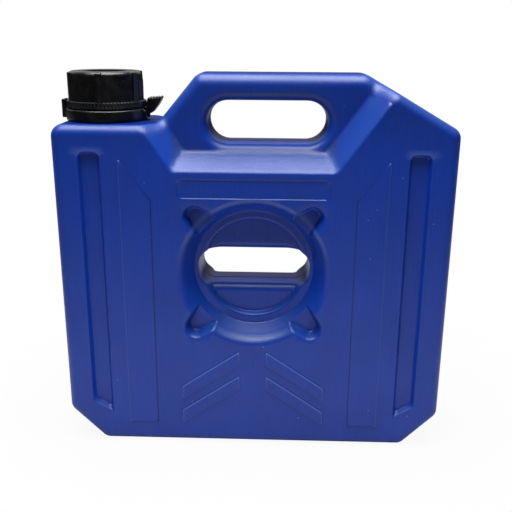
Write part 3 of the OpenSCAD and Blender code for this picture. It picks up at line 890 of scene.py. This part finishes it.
    def rim_strip(self, path: Outline, radius: np.ndarray, draft: float, ridge: float,
                  wall_rows: int, rim_rows: int) -> np.ndarray:
        """Rim and side wall from the relief's edge to the parting plane.

        Each place along the path has a quarter circle of the given radius, hung from the
        relief above it, and a straight wall with a low parting ridge.

        Args:
            path: the outline or the hole's edge at the parting plane.
            radius: the rim's radius along the path.
            draft: how far the wall leans away from the opening, per millimetre of depth.
            ridge: height of the parting ridge.
            wall_rows: rows on the wall.
            rim_rows: rows on the quarter circle.

        Returns:
            Grid of points, rows from the relief to the parting plane.
        """
        turn = np.radians(np.linspace(0.0, 90.0, rim_rows))[:, None]
        inset = radius * (1.0 - np.sin(turn))
        under = path.points[None] + path.normals[None] * inset[..., None]
        y = self.half_thickness(under) - radius * (1.0 - np.cos(turn))
        foot = y[-1][None, :]
        share = np.linspace(1.0, 0.0, wall_rows)[1:-1, None]
        tail = np.array([1.4, 0.9, 0.45, 0.0])[:, None]
        wall_y = np.concatenate([tail[0] + (foot - tail[0]) * share,
                                 np.broadcast_to(tail, (4, len(radius)))])
        lift = -ridge * np.exp(-(wall_y / self.seam_w) ** 2)
        lean = draft * np.concatenate([foot * np.sin(turn), wall_y])
        y = np.concatenate([y, wall_y])
        inset = np.concatenate([inset, lift]) + lean
        place = path.points[None] + path.normals[None] * inset[..., None]
        return np.stack([place[..., 0], -y, place[..., 1]], axis=-1)

    # -- patches

    def feature_lines(self) -> list[np.ndarray]:
        """Closed lines that the relief's triangles follow.

        Each feature's edge is moved to several distances, which lie closer where the relief
        bends more.

        Returns:
            The lines, as arrays of points.
        """
        half, foot = self.ramp_foot[0] / 2, self.ramp_foot[1]
        left, right = (math.tan(math.radians(a)) for a in self.ramp_lean)
        sky = self.height + 80.0
        mouth = [(-half, foot, 0.1), (half, foot, 0.1), (half + (sky - foot) / right, sky, 0.1),
                 (-half - (sky - foot) / left, sky, 0.1)]
        ramp, run = Outline.rounded(mouth, 3.0), self.ramp_run
        near = (-3.2, -2.2, -1.2, -0.4, 0.4, 1.2, 2.2, 3.2, 5.0, 7.5)
        lines = [ramp.offset(d) for d in (*near, *(run + k for k in range(-3, 4)))]
        return lines + self.recess_lines() + self.side_lines()

    def recess_lines(self) -> list[np.ndarray]:
        """Lines round the centre recess, and round each corner pocket."""
        turn = np.radians(np.arange(0.0, 360.0, 2.0))
        ray = np.stack([np.cos(turn), np.sin(turn)], axis=1)
        middle = np.array([0.0, self.recess_z])
        outer, inner, edge = self.recess_r, self.cone_r, self.step_r
        lip = outer - self.pocket_depth * (outer - inner) / self.cone_depth
        arc = [edge - self.step_edge_r * k for k in (0.25, 0.5, 0.7, 0.85, 0.95, self.arc_end)]
        rounds = ((outer, (3.2, 2.6, 1.9, 1.3, 0.7, 0.0, -0.6, -1.2, -2.0, -2.8, -4.0)),
                  (lip, (1.2, 0.5, 0.2, 0.0, -0.3, -1.0, -2.4)),
                  (inner, (1.0, 0.5, 0.0, -0.5, -2.4)),
                  (edge, (0.6, 0.0)),
                  (0.0, arc),
                  (arc[-1], (-0.25, -0.54, -0.8, -1.3)),
                  (edge, (-9.0, -16.0)))
        lines = [middle + ray * (r + d) for r, steps in rounds for d in steps]
        end_r, flare = self.pocket_w / 2, math.radians(self.pocket_flare)
        far, start = self.pocket_reach, self.cone_r - 4.0
        tip = end_r / math.cos(flare) - end_r * math.tan(flare)
        root = tip + (far - start) * math.tan(flare)
        notch = Outline.rounded([(start, -root, 0.5), (far, -tip, end_r), (far, tip, end_r),
                                 (start, root, 0.5)], 1.5, 10.0)
        for quarter in (45.0, 135.0, 225.0, 315.0):
            a = math.radians(quarter)
            turned = np.array([[math.cos(a), math.sin(a)], [-math.sin(a), math.cos(a)]])
            for d in (-1.4, -0.9, -0.45, 0.0, 0.45, 0.9, 1.3, 1.7, 2.1, 2.5, 3.0, 3.5, 4.2):
                lines.append(notch.moved(d) @ turned + middle)
        return lines

    def side_lines(self) -> list[np.ndarray]:
        """Lines along the side grooves, the raised panels and bars, and the label field."""
        lines = []
        (x0, x1), (low_in, low_out, top), r = self.groove_x, self.groove_z, self.groove_corner_r
        edges = [k * self.bevel_w for k in (-1.75, -0.95, -0.5, -0.17, 0.17, 0.5, 0.95)]
        for side in Side:
            loop = [(x0, low_in, 0.6), (x1, low_out, 0.6), (x1, top, r), (x0, top, r)]
            groove = Outline.rounded(side.place(loop), 3.2, 12.0)
            lines += [groove.offset(k * 0.35) for k in (-2, -1, 0, 1, 2, 4, 6, 7, 8, 9, 10)]
            for relief in self.relief_loops():
                path = Outline.rounded([(*s, 0.5) for s in side.place(relief)], 3.0, 30.0)
                lines += [path.offset(d) for d in edges]
        label = Outline.rounded([(*s, 0.8) for s in self.label_loop()], 3.0, 30.0)
        return lines + [label.offset(d) for d in edges]

    def relief_patch(self, rings: list[np.ndarray], guards: list[np.ndarray]) -> Patch:
        """Front relief inside the first ring and outside the others.

        The plane is cut into triangles that follow the rings, the feature lines and a field of
        spaced points, and each corner is then raised to the half thickness there.

        Args:
            rings: closed loops of points: the rim's edge, then each hole's edge.
            guards: loops just inside the rings, which keep the flat faces' shading flat.

        Returns:
            The patch of triangles.
        """
        spots, edges, count = [], [], 0
        for ring in rings:
            index = np.arange(len(ring))
            edges.append(np.stack([index, np.roll(index, -1)], axis=1) + count)
            spots.append(ring)
            count += len(ring)

        def room(points: np.ndarray) -> np.ndarray:
            """Distance from the nearest ring, positive where the relief is."""
            gap = signed_distance(points, rings[0])
            for ring in rings[1:]:
                gap = np.minimum(gap, -signed_distance(points, ring))
            return gap

        for line in guards + self.feature_lines():
            keep = room(line) > self.line_room
            index = np.full(len(line), -1)
            index[keep] = np.arange(keep.sum()) + count
            pair = np.stack([index, np.roll(index, -1)], axis=1)
            edges.append(pair[(pair >= 0).all(axis=1)])
            spots.append(line[keep])
            count += int(keep.sum())
        pitch = self.field_pitch
        gx, gz = np.meshgrid(np.arange(-self.width / 2, self.width / 2, pitch),
                             np.arange(0.0, self.height, pitch * 0.866))
        gx = gx + pitch / 2 * (np.arange(gx.shape[0]) % 2)[:, None]
        field_points = np.stack([gx.ravel(), gz.ravel()], axis=1)
        field_points = field_points[room(field_points) > self.field_room]

        def cells(points: np.ndarray, right: int = 0, up: int = 0) -> np.ndarray:
            """Number of the cell that holds each point, moved by whole cells."""
            index = np.floor(points / self.field_gap).astype(int) + [right, up]
            return index[:, 0] * 10000 + index[:, 1]

        lines = np.concatenate(spots[len(rings):])
        taken = np.concatenate([cells(lines, dx, dz) for dx in (-1, 0, 1) for dz in (-1, 0, 1)])
        field_points = field_points[~np.isin(cells(field_points), taken)]
        spots.append(field_points)
        flat = np.concatenate(spots)
        result = delaunay_2d_cdt([tuple(p) for p in flat], np.concatenate(edges).tolist(), [],
                                 0, 1e-4)
        plane = np.array([tuple(v) for v in result[0]])
        triangles = np.array(result[2])
        centre = plane[triangles].mean(axis=1)
        triangles = triangles[room(centre) > 0.0]
        y = -self.half_thickness(plane)
        return Patch(np.stack([plane[:, 0], y, plane[:, 1]], axis=1), triangles)

    def shoulder_patch(self, edge: np.ndarray) -> tuple[Patch, int]:
        """Top of the shoulder, from the gap in the side wall to the neck's foot.

        Each point of the edge is joined, through level rings, to its partner on the circle
        where the neck's fillet starts.

        Args:
            edge: points of the gap's edge, from one side of the parting plane to the other.

        Returns:
            The front half of the patch, and the number of points on the half circle.
        """
        count = len(edge)
        angle = np.linspace(math.pi, 2 * math.pi, count)
        ring = self.neck_r + self.neck_fillet
        circle = np.stack([NECK_X + ring * np.cos(angle), ring * np.sin(angle),
                           np.full(count, self.shoulder_z)], axis=1)
        share = np.linspace(0.0, 1.0, 6)[:, None, None]
        return Patch.grid(edge[None] * (1 - share) + circle[None] * share), count

    def neck_patch(self, half_count: int) -> Patch:
        """Neck with its helical thread, rim and bore, closed below the shoulder.

        Args:
            half_count: points on the front half of the shoulder's circle.

        Returns:
            The whole neck.
        """
        steps = 2 * (half_count - 1)
        angle = np.linspace(0.0, 2 * math.pi, steps, endpoint=False)
        turn = np.radians(np.linspace(0.0, 90.0, 5))
        wall_r, bore, top, deck = self.neck_r, self.bore_r, self.neck_top, self.shoulder_z
        fillet = np.stack([wall_r + self.neck_fillet * (1 - np.sin(turn)),
                           deck + self.neck_fillet * (1 - np.cos(turn))], axis=1)
        wall_z = np.linspace(deck + self.neck_fillet + 0.6, top - 0.8, self.neck_rows)
        wall = np.stack([np.full_like(wall_z, wall_r), wall_z], axis=1)
        rim = np.array([(wall_r - 0.25, top - 0.2), (wall_r - 0.8, top), (bore + 0.5, top),
                        (bore, top - 0.5), (bore, deck - 2.5), (bore, deck - 8.0),
                        (0.0, deck - 8.0)])
        profile = np.concatenate([fillet, wall, rim])
        points = revolve(profile, (NECK_X, 0.0), steps)
        on_wall = np.zeros((len(profile), 1))
        on_wall[len(fillet):len(fillet) + len(wall)] = 1.0
        grow = self.thread.ridge(points[..., 2], angle[None, :]) * on_wall / wall_r
        points[..., 0] += (points[..., 0] - NECK_X) * grow
        points[..., 1] += points[..., 1] * grow
        return Patch.grid(points, wrap=True)

    def opening(self, path: Outline, rim: np.ndarray, rim_rows: int) -> Opening:
        """Makes an opening's rim and walls.

        Args:
            path: the opening's edge at the parting plane, with its normals outwards.
            rim: the rim's radius along the path.
            rim_rows: rows on the rim.

        Returns:
            The opening.
        """
        walls = self.rim_strip(path, rim, self.draft, self.opening_seam_h,
                               self.opening_wall_rows, rim_rows)
        return Opening(path, rim, walls)

    def hand_hole(self) -> Opening:
        """Makes the hand hole."""
        path = Outline.slot(self.hole[:2], *self.hole[2:], 3.0).turned_out()
        return self.opening(path, np.full(len(path.points), self.hole_rim_r), 10)

    def centre_slot(self) -> Opening:
        """Makes the centre slot, whose rim is tighter round its ends."""
        z, w, h, r = self.slot[0], self.slot[1] / 2, self.slot[2] / 2, self.slot_corner_r
        path = Outline.rounded([(-w, z - h, r), (w, z - h, r), (w, z + h, r), (-w, z + h, r)],
                               2.5, 6.0).turned_out()
        start = np.where(path.points[:, 1] < z, 30.0, 26.0)
        ends = smooth_step((np.abs(path.points[:, 0]) - start) / 10.0)
        wide, tight = self.slot_rim_r
        return self.opening(path, wide - (wide - tight) * ends, 8)

    def marks(self, x: np.ndarray, z: np.ndarray) -> dict[str, np.ndarray]:
        """Point attributes that the finish reads.

        Args:
            x: the vertices' X.
            z: the vertices' Z.

        Returns:
            "ramp", which is 1 where the ramp has its level grain, and "edge", which carries the
            painted edge highlights and shade.
        """
        inside = self.ramp_distance(x, z)
        above = smooth_step((z - self.ramp_foot[1] + 2.0) / 2.0)
        within = smooth_step((self.ramp_run + 3.0 - inside) / 2.0)
        within = within * smooth_step((inside + 2.0) / 2.0)
        between = smooth_step((self.ramp_foot[0] / 2 + 2 - np.abs(x)) / 3.0)
        return {"ramp": above * within * between, "edge": self.edge_highlight_and_shade(x, z)}

    def build(self) -> bpy.types.Object:
        """Builds the whole skin with its marks.

        Returns:
            The finished tank piece.
        """
        path = Outline.rounded(self.corners, 3.0)
        rim = self.rim_size(path)
        top = self.rim_rows - 1
        side = self.rim_strip(path, rim, 0.0, self.seam_h, self.wall_rows, self.rim_rows)
        holes = [self.hand_hole(), self.centre_slot()]
        # on the shoulder the wall is left out, and the patch round the neck takes its place
        on_shoulder = ((np.abs(path.points[:, 1] - self.shoulder_z) < 0.01)
                       & (path.points[:, 0] < self.handle_l - self.slope_run - 4.0))
        first, last = np.flatnonzero(on_shoulder)[[0, -1]]
        gap_edge = np.concatenate([side[top:, last][::-1], side[top, first:last][::-1],
                                   side[top + 1:, first]])
        shoulder, half_count = self.shoulder_patch(gap_edge)
        wrapped = np.concatenate([side, side[:, :1]], axis=1)
        strips = [Patch.grid(grid) for grid in
                  (wrapped[:top + 1], wrapped[top:, :first + 1], wrapped[top:, last:])]
        strips += [Patch.grid(hole.walls, wrap=True) for hole in holes]
        rings = [grid[0][:, [0, 2]] for grid in (side, *(hole.walls for hole in holes))]
        guards = [path.moved(rim + self.guard_gap)]
        guards += [hole.path.moved(hole.rim + self.guard_gap) for hole in holes]
        halves = [self.relief_patch(rings, guards), *strips, shoulder]
        patches = halves + [p.mirrored() for p in halves] + [self.neck_patch(half_count)]
        skin = piece_from("tank_skin", patches, self.material)
        co = np.empty(len(skin.data.vertices) * 3)
        skin.data.vertices.foreach_get("co", co)
        for name, values in self.marks(co[0::3] / MM, co[2::3] / MM).items():
            skin.data.attributes.new(name, "FLOAT", "POINT").data.foreach_set("value", values)
        return skin


# ---------------------------------------------------------------- closure


@dataclass
class ScrewCap:
    """Ring nut: a knurled side with six grip ribs, a toothed ring and an open top.

    The whole section is one closed row of radius and height, turned about the neck's axis, and
    the ribs, knurls, teeth and thread move its points in or out. Sizes are in millimetres.
    """

    material: bpy.types.Material
    foot: float = 269.0
    top: float = 295.75
    under: float = 292.55
    side_r: float = 28.0
    shoulder_r: float = 3.4
    hole_r: float = 16.2
    bore_r: float = 24.7
    ring_r: float = 30.4
    ring_h: float = 4.7
    teeth: int = 72
    tooth_depth: float = 0.9
    tooth_rise: float = 0.15  # share of a tooth that its steep flank takes
    ribs: int = 6
    rib_w: float = 4.6
    rib_out: float = 1.2
    rib_turn: float = 32.0
    knurls: int = 144
    knurl_h: float = 0.16
    thread: Thread = Thread()
    bore_rows: int = 34
    mouth_rows: int = 4  # from the top's inner edge down to the bore
    steps: int = 1152

    def section(self) -> np.ndarray:
        """Rows of radius and height round the section, from the foot outwards, up and back."""
        ring_top = self.foot + self.ring_h
        quarter = np.radians(np.linspace(0.0, 90.0, 8))
        wall_z = np.linspace(ring_top + 0.8, self.top - self.shoulder_r, 14)[:-1]
        side = [(self.side_r, z) for z in wall_z]
        shoulder = [(self.side_r - self.shoulder_r * (1 - math.cos(q)),
                     self.top - self.shoulder_r * (1 - math.sin(q))) for q in quarter]
        bore_z = np.linspace(self.under - 0.3, self.foot + 0.5, self.bore_rows)
        return np.array([
            (self.bore_r + 0.5, self.foot), (self.ring_r - 0.4, self.foot),
            (self.ring_r, self.foot + 0.35), (self.ring_r, ring_top - 0.45),
            (self.ring_r - 0.5, ring_top), (self.side_r + 0.9, ring_top),
            (self.side_r + 0.2, ring_top + 0.2), *side, *shoulder,
            (self.hole_r + 1.0, self.top), (self.hole_r + 0.25, self.top - 0.2),
            (self.hole_r, self.top - 0.8), (self.hole_r, self.under), (self.bore_r, self.under),
            *[(self.bore_r, z) for z in bore_z]])

    def build(self) -> bpy.types.Object:
        """Builds the cap.

        Returns:
            The finished cap piece.
        """
        rows = self.section()
        points = revolve(rows, (0.0, 0.0), self.steps)
        angle = np.linspace(0.0, 2 * math.pi, self.steps, endpoint=False)[None, :]
        r, z = rows[:, :1], rows[:, 1:]
        left = (len(rows) - np.arange(len(rows)))[:, None]
        outside = (left > self.bore_rows + self.mouth_rows) & (r > self.hole_r + 2.0)
        on_ring = (r > self.side_r + 1.5) & outside
        on_side = (r < self.side_r + 1.0) & outside & (z > self.foot + self.ring_h - 0.1)
        pitch = 2 * math.pi / self.ribs
        off = (angle - math.radians(self.rib_turn) + pitch / 2) % pitch - pitch / 2
        across = np.abs(off) * self.side_r - self.rib_w / 2
        crest = self.side_r + self.rib_out - np.where(z < self.top - 1.0, 0.0, 0.5)
        proud = np.where(z < self.top - 0.6, crest - r, 0.0)
        move = on_side * proud * smooth_step(0.5 - across / 0.5)
        band = smooth_step((self.top - 5.6 - z) / 1.5) * smooth_step((across - 0.6) / 0.8)
        move = move + on_side * band * self.knurl_h * (1 + np.cos(angle * self.knurls))
        share = angle * self.teeth / (2 * math.pi) % 1.0
        rise = self.tooth_rise
        sunk = np.where(share < rise, share / rise, (1.0 - share) / (1.0 - rise))
        move = move - on_ring * self.tooth_depth * sunk * (np.abs(r - self.ring_r) < 0.45)
        move = move - (left <= self.bore_rows) * self.thread.ridge(z, angle, 0.5)
        points[..., 0] = NECK_X + (r + move) * np.cos(angle)
        points[..., 1] = (r + move) * np.sin(angle)
        points = np.concatenate([points, points[:1]])
        return piece_from("cap_knurled", [Patch.grid(points, wrap=True)], self.material,
                          shade_angle=50.0)


@dataclass
class LockCollar:
    """Collar round the neck's foot, with a guard post and the cheeks of the lever's hinge.

    Sizes are in millimetres.
    """

    material: bpy.types.Material
    foot: float = 259.0
    height: float = 9.0
    bore_r: float = 22.8
    outer_r: float = 31.0
    post_l: float = -148.9
    post_t: float = 2.8
    post_w: float = 10.0
    post_z: tuple[float, float] = (260.6, 274.6)
    cheek: tuple[float, float] = (-86.6, -82.9)
    cheek_t: float = 2.0
    lever_w: float = 12.0
    trough_x: float = -86.8
    trough_z: float = 261.9
    bevel: float = 1.5
    bulge: float = 0.12
    steps: int = 240

    def build(self) -> bpy.types.Object:
        """Builds the collar, whose side bulges slightly between its bevels.

        A trough in the side clears the lever's barrel.

        Returns:
            The finished collar piece.
        """
        top, bevel, bulge = self.foot + self.height, self.bevel, self.bulge
        turn = np.radians(np.linspace(0.0, 90.0, 7))
        bulge_z = np.linspace(self.foot + 1.4, top - bevel, 6)[:-1]
        side = [(self.outer_r - bulge * ((z - self.foot - 4.2) / 3.3) ** 2, z) for z in bulge_z]
        upper = [(self.outer_r - bulge - bevel * (1 - math.cos(t)),
                  top - bevel * (1 - math.sin(t))) for t in turn]
        rows = np.array([(self.bore_r, self.foot), (self.outer_r - 1.1, self.foot),
                         (self.outer_r - 0.45, self.foot + 0.4), *side, *upper,
                         (self.bore_r + 0.6, top), (self.bore_r, top - 0.6),
                         (self.bore_r, self.foot)])
        points = revolve(rows, (NECK_X, 0.0), self.steps)
        x, y, z = np.moveaxis(points, -1, 0)
        trough = (np.abs(y) < self.lever_w / 2 + 0.5) & (z > self.trough_z) & (x > self.trough_x)
        points[..., 0] = np.where(trough, self.trough_x, x)
        ring = Patch.grid(points, wrap=True)
        left, right = self.post_l, self.post_l + self.post_t
        low, high = self.post_z
        inner, shelf = NECK_X - self.outer_r + 2.6, top - 0.9
        post = Outline.rounded([(left, low, 0.8), (inner, low, 0.3), (inner, shelf, 0.3),
                                (right, shelf, 0.9), (right, high, 0.9), (left, high, 1.1)],
                               2.0, 22.0)
        patches = [ring, *slab_patches(post, -self.post_w / 2, self.post_w / 2, 0.7)]
        x0, x1 = self.cheek
        cheek = Outline.rounded([(x0, self.foot + 1.0, 0.6), (x1, self.foot + 1.0, 1.2),
                                 (x1, top - 1.0, 2.4), (x0, top - 1.0, 0.6)], 2.0, 22.0)
        start = self.lever_w / 2 + 0.3
        near = slab_patches(cheek, -start - self.cheek_t, -start, 0.5)
        patches += near + [p.mirrored() for p in near]
        return piece_from("collar_ring", patches, self.material, shade_angle=50.0)


@dataclass
class ReleaseLever:
    """Lever with a pawl and a sloping thumb pad whose ribs run from front to back.

    Sizes are in millimetres.
    """

    material: bpy.types.Material
    hinge: tuple[float, float] = (-84.75, 264.0)
    barrel_r: float = 1.7
    root: float = 2.8
    foot_x: float = -83.9
    tip_x: float = -71.5
    top: float = 276.8
    pawl_z: float = 271.35
    width: float = 12.0
    pad_ribs: int = 5
    pad_drop: float = 0.9
    rib_h: float = 0.7

    def build(self) -> bpy.types.Object:
        """Builds the lever as one slab of its side outline.

        Returns:
            The finished lever piece.
        """
        hx, hz = self.hinge
        r = self.barrel_r
        start, end = self.foot_x + 1.1, self.tip_x - 0.5
        pad = []
        step = (end - start) / self.pad_ribs
        for k in range(self.pad_ribs):
            x = end - k * step
            z = self.top - 0.5 - (k + 0.5) * self.pad_drop / self.pad_ribs
            pad += [(x - 0.1 * step, z + self.rib_h, 0.5), (x - 0.6 * step, z + self.rib_h, 0.5),
                    (x - 0.9 * step, z - self.rib_h, 0.25)]
        belly = [(self.tip_x + x, self.top + z, 1.0)
                 for x, z in ((-7.6, -11.9), (-3.6, -7.2), (-1.1, -3.2))]
        corners = [(hx - 0.4, hz - r, 1.1), (hx + self.root, hz - 0.4, 1.1), *belly,
                   (self.tip_x, self.top - 0.7, 0.5),
                   *pad, (self.foot_x + 0.9, self.pawl_z + 1.4, 0.4),
                   (self.foot_x, self.pawl_z, 0.3), (self.foot_x + 0.5, hz + r, 0.8),
                   (hx - r, hz, 0.9)]
        outline = Outline.rounded(corners, 2.0, 22.0)
        patches = slab_patches(outline, -self.width / 2, self.width / 2, 0.45)
        return piece_from("lever_pad", patches, self.material, shade_angle=50.0)


@dataclass
class StopperDisc:
    """Disc that closes the mouth, dished inside a low finger ring. Sizes are in millimetres."""

    material: bpy.types.Material
    foot: float = 289.25
    outer_r: float = 22.4
    rim_t: float = 3.0
    finger_r: float = 15.0
    finger_w: float = 2.5
    finger_h: float = 1.5
    dish: float = 0.6
    dish_rings: tuple[float, float] = (8.0, 4.0)
    steps: int = 180

    def build(self) -> bpy.types.Object:
        """Builds the disc with softened edges and two faint moulding rings in its dish.

        Returns:
            The finished stopper piece.
        """
        low, rim = self.foot, self.foot + self.rim_t
        crest, floor = rim + self.finger_h, rim - self.dish
        outer, inner = self.finger_r, self.finger_r - self.finger_w
        rows = [(0.05, low), (self.outer_r - 0.4, low), (self.outer_r, low + 0.4),
                (self.outer_r, rim - 0.4), (self.outer_r - 0.4, rim), (outer + 0.5, rim),
                (outer + 0.1, rim + 0.2), (outer - 0.6, crest - 0.3), (outer - 0.95, crest),
                (inner + 0.2, crest), (inner - 0.15, crest - 0.3), (inner - 0.7, floor + 0.25),
                (inner - 1.2, floor)]
        for r in self.dish_rings:
            rows += [(r + 0.5, floor), (r + 0.15, floor + 0.25), (r - 0.15, floor + 0.25),
                     (r - 0.5, floor)]
        rows += [(0.05, floor)]
        grid = Patch.grid(revolve(np.array(rows), (NECK_X, 0.0), self.steps), wrap=True)
        index = np.arange(self.steps)[None]
        caps = [Patch(grid.points[:self.steps], index[:, ::-1]),
                Patch(grid.points[-self.steps:], index)]
        return piece_from("stopper_lid", [grid, *caps], self.material, shade_angle=50.0)


# ---------------------------------------------------------------- studio


@dataclass
class Studio:
    """Pale floor, soft overhead light and the camera. Sizes are in metres."""

    camera_at: tuple[float, float, float] = (0.01847, -0.55478, 0.3224)
    pitch: float = 17.31
    yaw: float = -1.81
    roll: float = 0.35
    lens: float = 49.96
    lamp_at: tuple[float, float, float] = (-0.04, -0.12, 1.3)
    lamp_size: tuple[float, float] = (1.1, 1.05)
    lamp_power: float = 36.0
    front_level: float = 0.03  # strength of the room's light
    back_level: float = 1.1  # strength of the pale band behind the object
    aim_at: tuple[float, float, float] = (0.0, 0.0, 0.15)
    floor_half: float = 3.0
    floor_near: str = "#c2c2c4"
    floor_far: str = "#505052"

    def build(self) -> None:
        """Makes the floor, the light, the world and the camera."""
        self.build_camera()
        self.build_floor()
        self.build_world()
        self.build_lamp()

    def build_camera(self) -> None:
        """Makes the camera from its pitch, yaw and roll."""
        pitch, yaw, roll = (math.radians(a) for a in (self.pitch, self.yaw, self.roll))
        forward = np.array([math.sin(yaw) * math.cos(pitch), math.cos(yaw) * math.cos(pitch),
                            -math.sin(pitch)])
        right = np.array([math.cos(yaw), -math.sin(yaw), 0.0])
        up = np.cross(right, forward)
        side = right * math.cos(roll) + up * math.sin(roll)
        top = -right * math.sin(roll) + up * math.cos(roll)
        data = bpy.data.cameras.new("camera")
        data.lens = self.lens
        data.sensor_width = 36.0
        data.clip_start = 0.01
        camera = bpy.data.objects.new("camera", data)
        columns = np.stack([side, top, -forward, np.array(self.camera_at)], axis=1)
        camera.matrix_world = Matrix([*columns.tolist(), [0, 0, 0, 1]])
        bpy.context.scene.collection.objects.link(camera)
        bpy.context.scene.camera = camera

    def build_floor(self) -> None:
        """Makes the floor, which shows white to the camera except close round the object.

        A strength of 1 is white. Near the object a tenth of the floor's own light mixes in, so
        the object's shadow stays.
        """
        # painted board, matte
        s = Surface("studio_floor_matte_white")
        s.shader.inputs["Roughness"].default_value = 0.9
        seen = s.node("LightPath").outputs["Is Camera Ray"]
        away = s.node("VectorMath", {0: s.coords}, operation="LENGTH").outputs["Value"]
        front = s.remap(s.axis(s.coords, 1), (0.0, 0.3), (1.0, 0.0))
        dark = s.combine("MULTIPLY", s.remap(away, (0.35, 0.8)), front)
        s.feed(s.shader, {"Base Color": s.blend(dark, self.floor_near, self.floor_far)})
        share = s.combine("MULTIPLY", seen, s.remap(away, (0.2, 0.5), (0.93, 1.0)))
        glow = s.node("Emission", {"Color": WHITE, "Strength": 1.0})
        mixed = s.node("MixShader", {0: share, 1: s.shader.outputs[0], 2: glow.outputs[0]})
        s.feed(s.output, {"Surface": mixed.outputs[0]})
        span = np.array([-self.floor_half, self.floor_half]) / MM
        gx, gy = np.meshgrid(span, span)
        points = np.stack([gx, gy, np.zeros_like(gx)], axis=-1)
        piece_from("floor", [Patch.grid(points)], s.material)

    def build_world(self) -> None:
        """Makes the world: white to the camera, and to all else a dim room with a pale band
        low behind the object."""
        world = bpy.data.worlds.new("studio")
        bpy.context.scene.world = world
        world.use_nodes = True
        w = NodeGraph(world.node_tree)
        seen = w.node("LightPath").outputs["Is Camera Ray"]
        toward = w.node("TexCoord").outputs["Generated"]
        behind = w.remap(w.axis(toward, 1), (0.2, 0.8))
        low = w.remap(w.axis(toward, 2), (0.4, 0.6), (1.0, 0.0))
        raised = w.remap(w.axis(toward, 2), (0.22, 0.34))
        band = w.combine("MULTIPLY", w.combine("MULTIPLY", behind, low), raised)
        level = w.remap(band, (0.0, 1.0), (self.front_level, self.back_level))
        room = w.node("Background", {"Color": WHITE, "Strength": level})
        white = w.node("Background", {"Color": WHITE, "Strength": 1.0})
        mixed = w.node("MixShader", {0: seen, 1: room.outputs[0], 2: white.outputs[0]})
        w.node("OutputWorld", {"Surface": mixed.outputs[0]})

    def build_lamp(self) -> None:
        """Makes the overhead softbox, which points at the middle of the object."""
        data = bpy.data.lights.new("softbox", "AREA")
        data.shape = "RECTANGLE"
        data.size, data.size_y = self.lamp_size
        data.energy = self.lamp_power
        lamp = bpy.data.objects.new("softbox", data)
        lamp.location = self.lamp_at
        aim = Vector(self.aim_at) - lamp.location
        lamp.rotation_euler = aim.to_track_quat("-Z", "Y").to_euler()
        bpy.context.scene.collection.objects.link(lamp)


def main() -> None:
    """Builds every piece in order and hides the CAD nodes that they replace."""
    logging.basicConfig(level=logging.INFO, format="%(name)s: %(message)s")
    bpy.context.scene.view_settings.view_transform = "Standard"
    low, high = (np.array(c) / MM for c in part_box("tank_shell"))
    blue = BlowMouldedPolyethylene().build()
    # moulded closure parts, the duller spout that is kept inside, and the lever, whose pad gets a
    # brighter painted highlight
    satin = MouldedPolypropylene().build()
    matt = MouldedPolypropylene("polyethylene_black_spout", roughness=0.42).build()
    lit_pad = MouldedPolypropylene("polypropylene_black_lit_pad", up_light_and_shade="#9a9a9c").build()
    rubber = NitrileRubber().build()
    depth = high[1] - low[1] - 2 * TankSkin.relief
    tank = TankSkin(width=high[0] - low[0], height=high[2], depth=depth, material=blue)
    pieces = [(tank.build(), "tank", "tank_shell", "tank"),
              (LockCollar(satin).build(), "tank", "lock_collar", "fittings"),
              (ReleaseLever(lit_pad).build(), "lever", "lock_lever", "fittings"),
              (ScrewCap(satin).build(), "cap", "screw_cap", "cap"),
              (StopperDisc(satin).build(), "closure", "stopper_disc", "fittings")]
    for piece, body, node, slot in pieces:
        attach(piece, body)
        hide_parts(node)
    finishes = {"stopper_gasket": rubber, "spout_gasket": rubber, "spout_flange": matt,
                "spout_hose": matt, "spout_nozzle": matt}
    for name, finish in finishes.items():
        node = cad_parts[name]
        node.data.materials.clear()
        node.data.materials.append(finish)
        LOG.info("%s: finished in %s", name, finish.name)
    Studio().build()


if __name__ == "__main__":
    main()
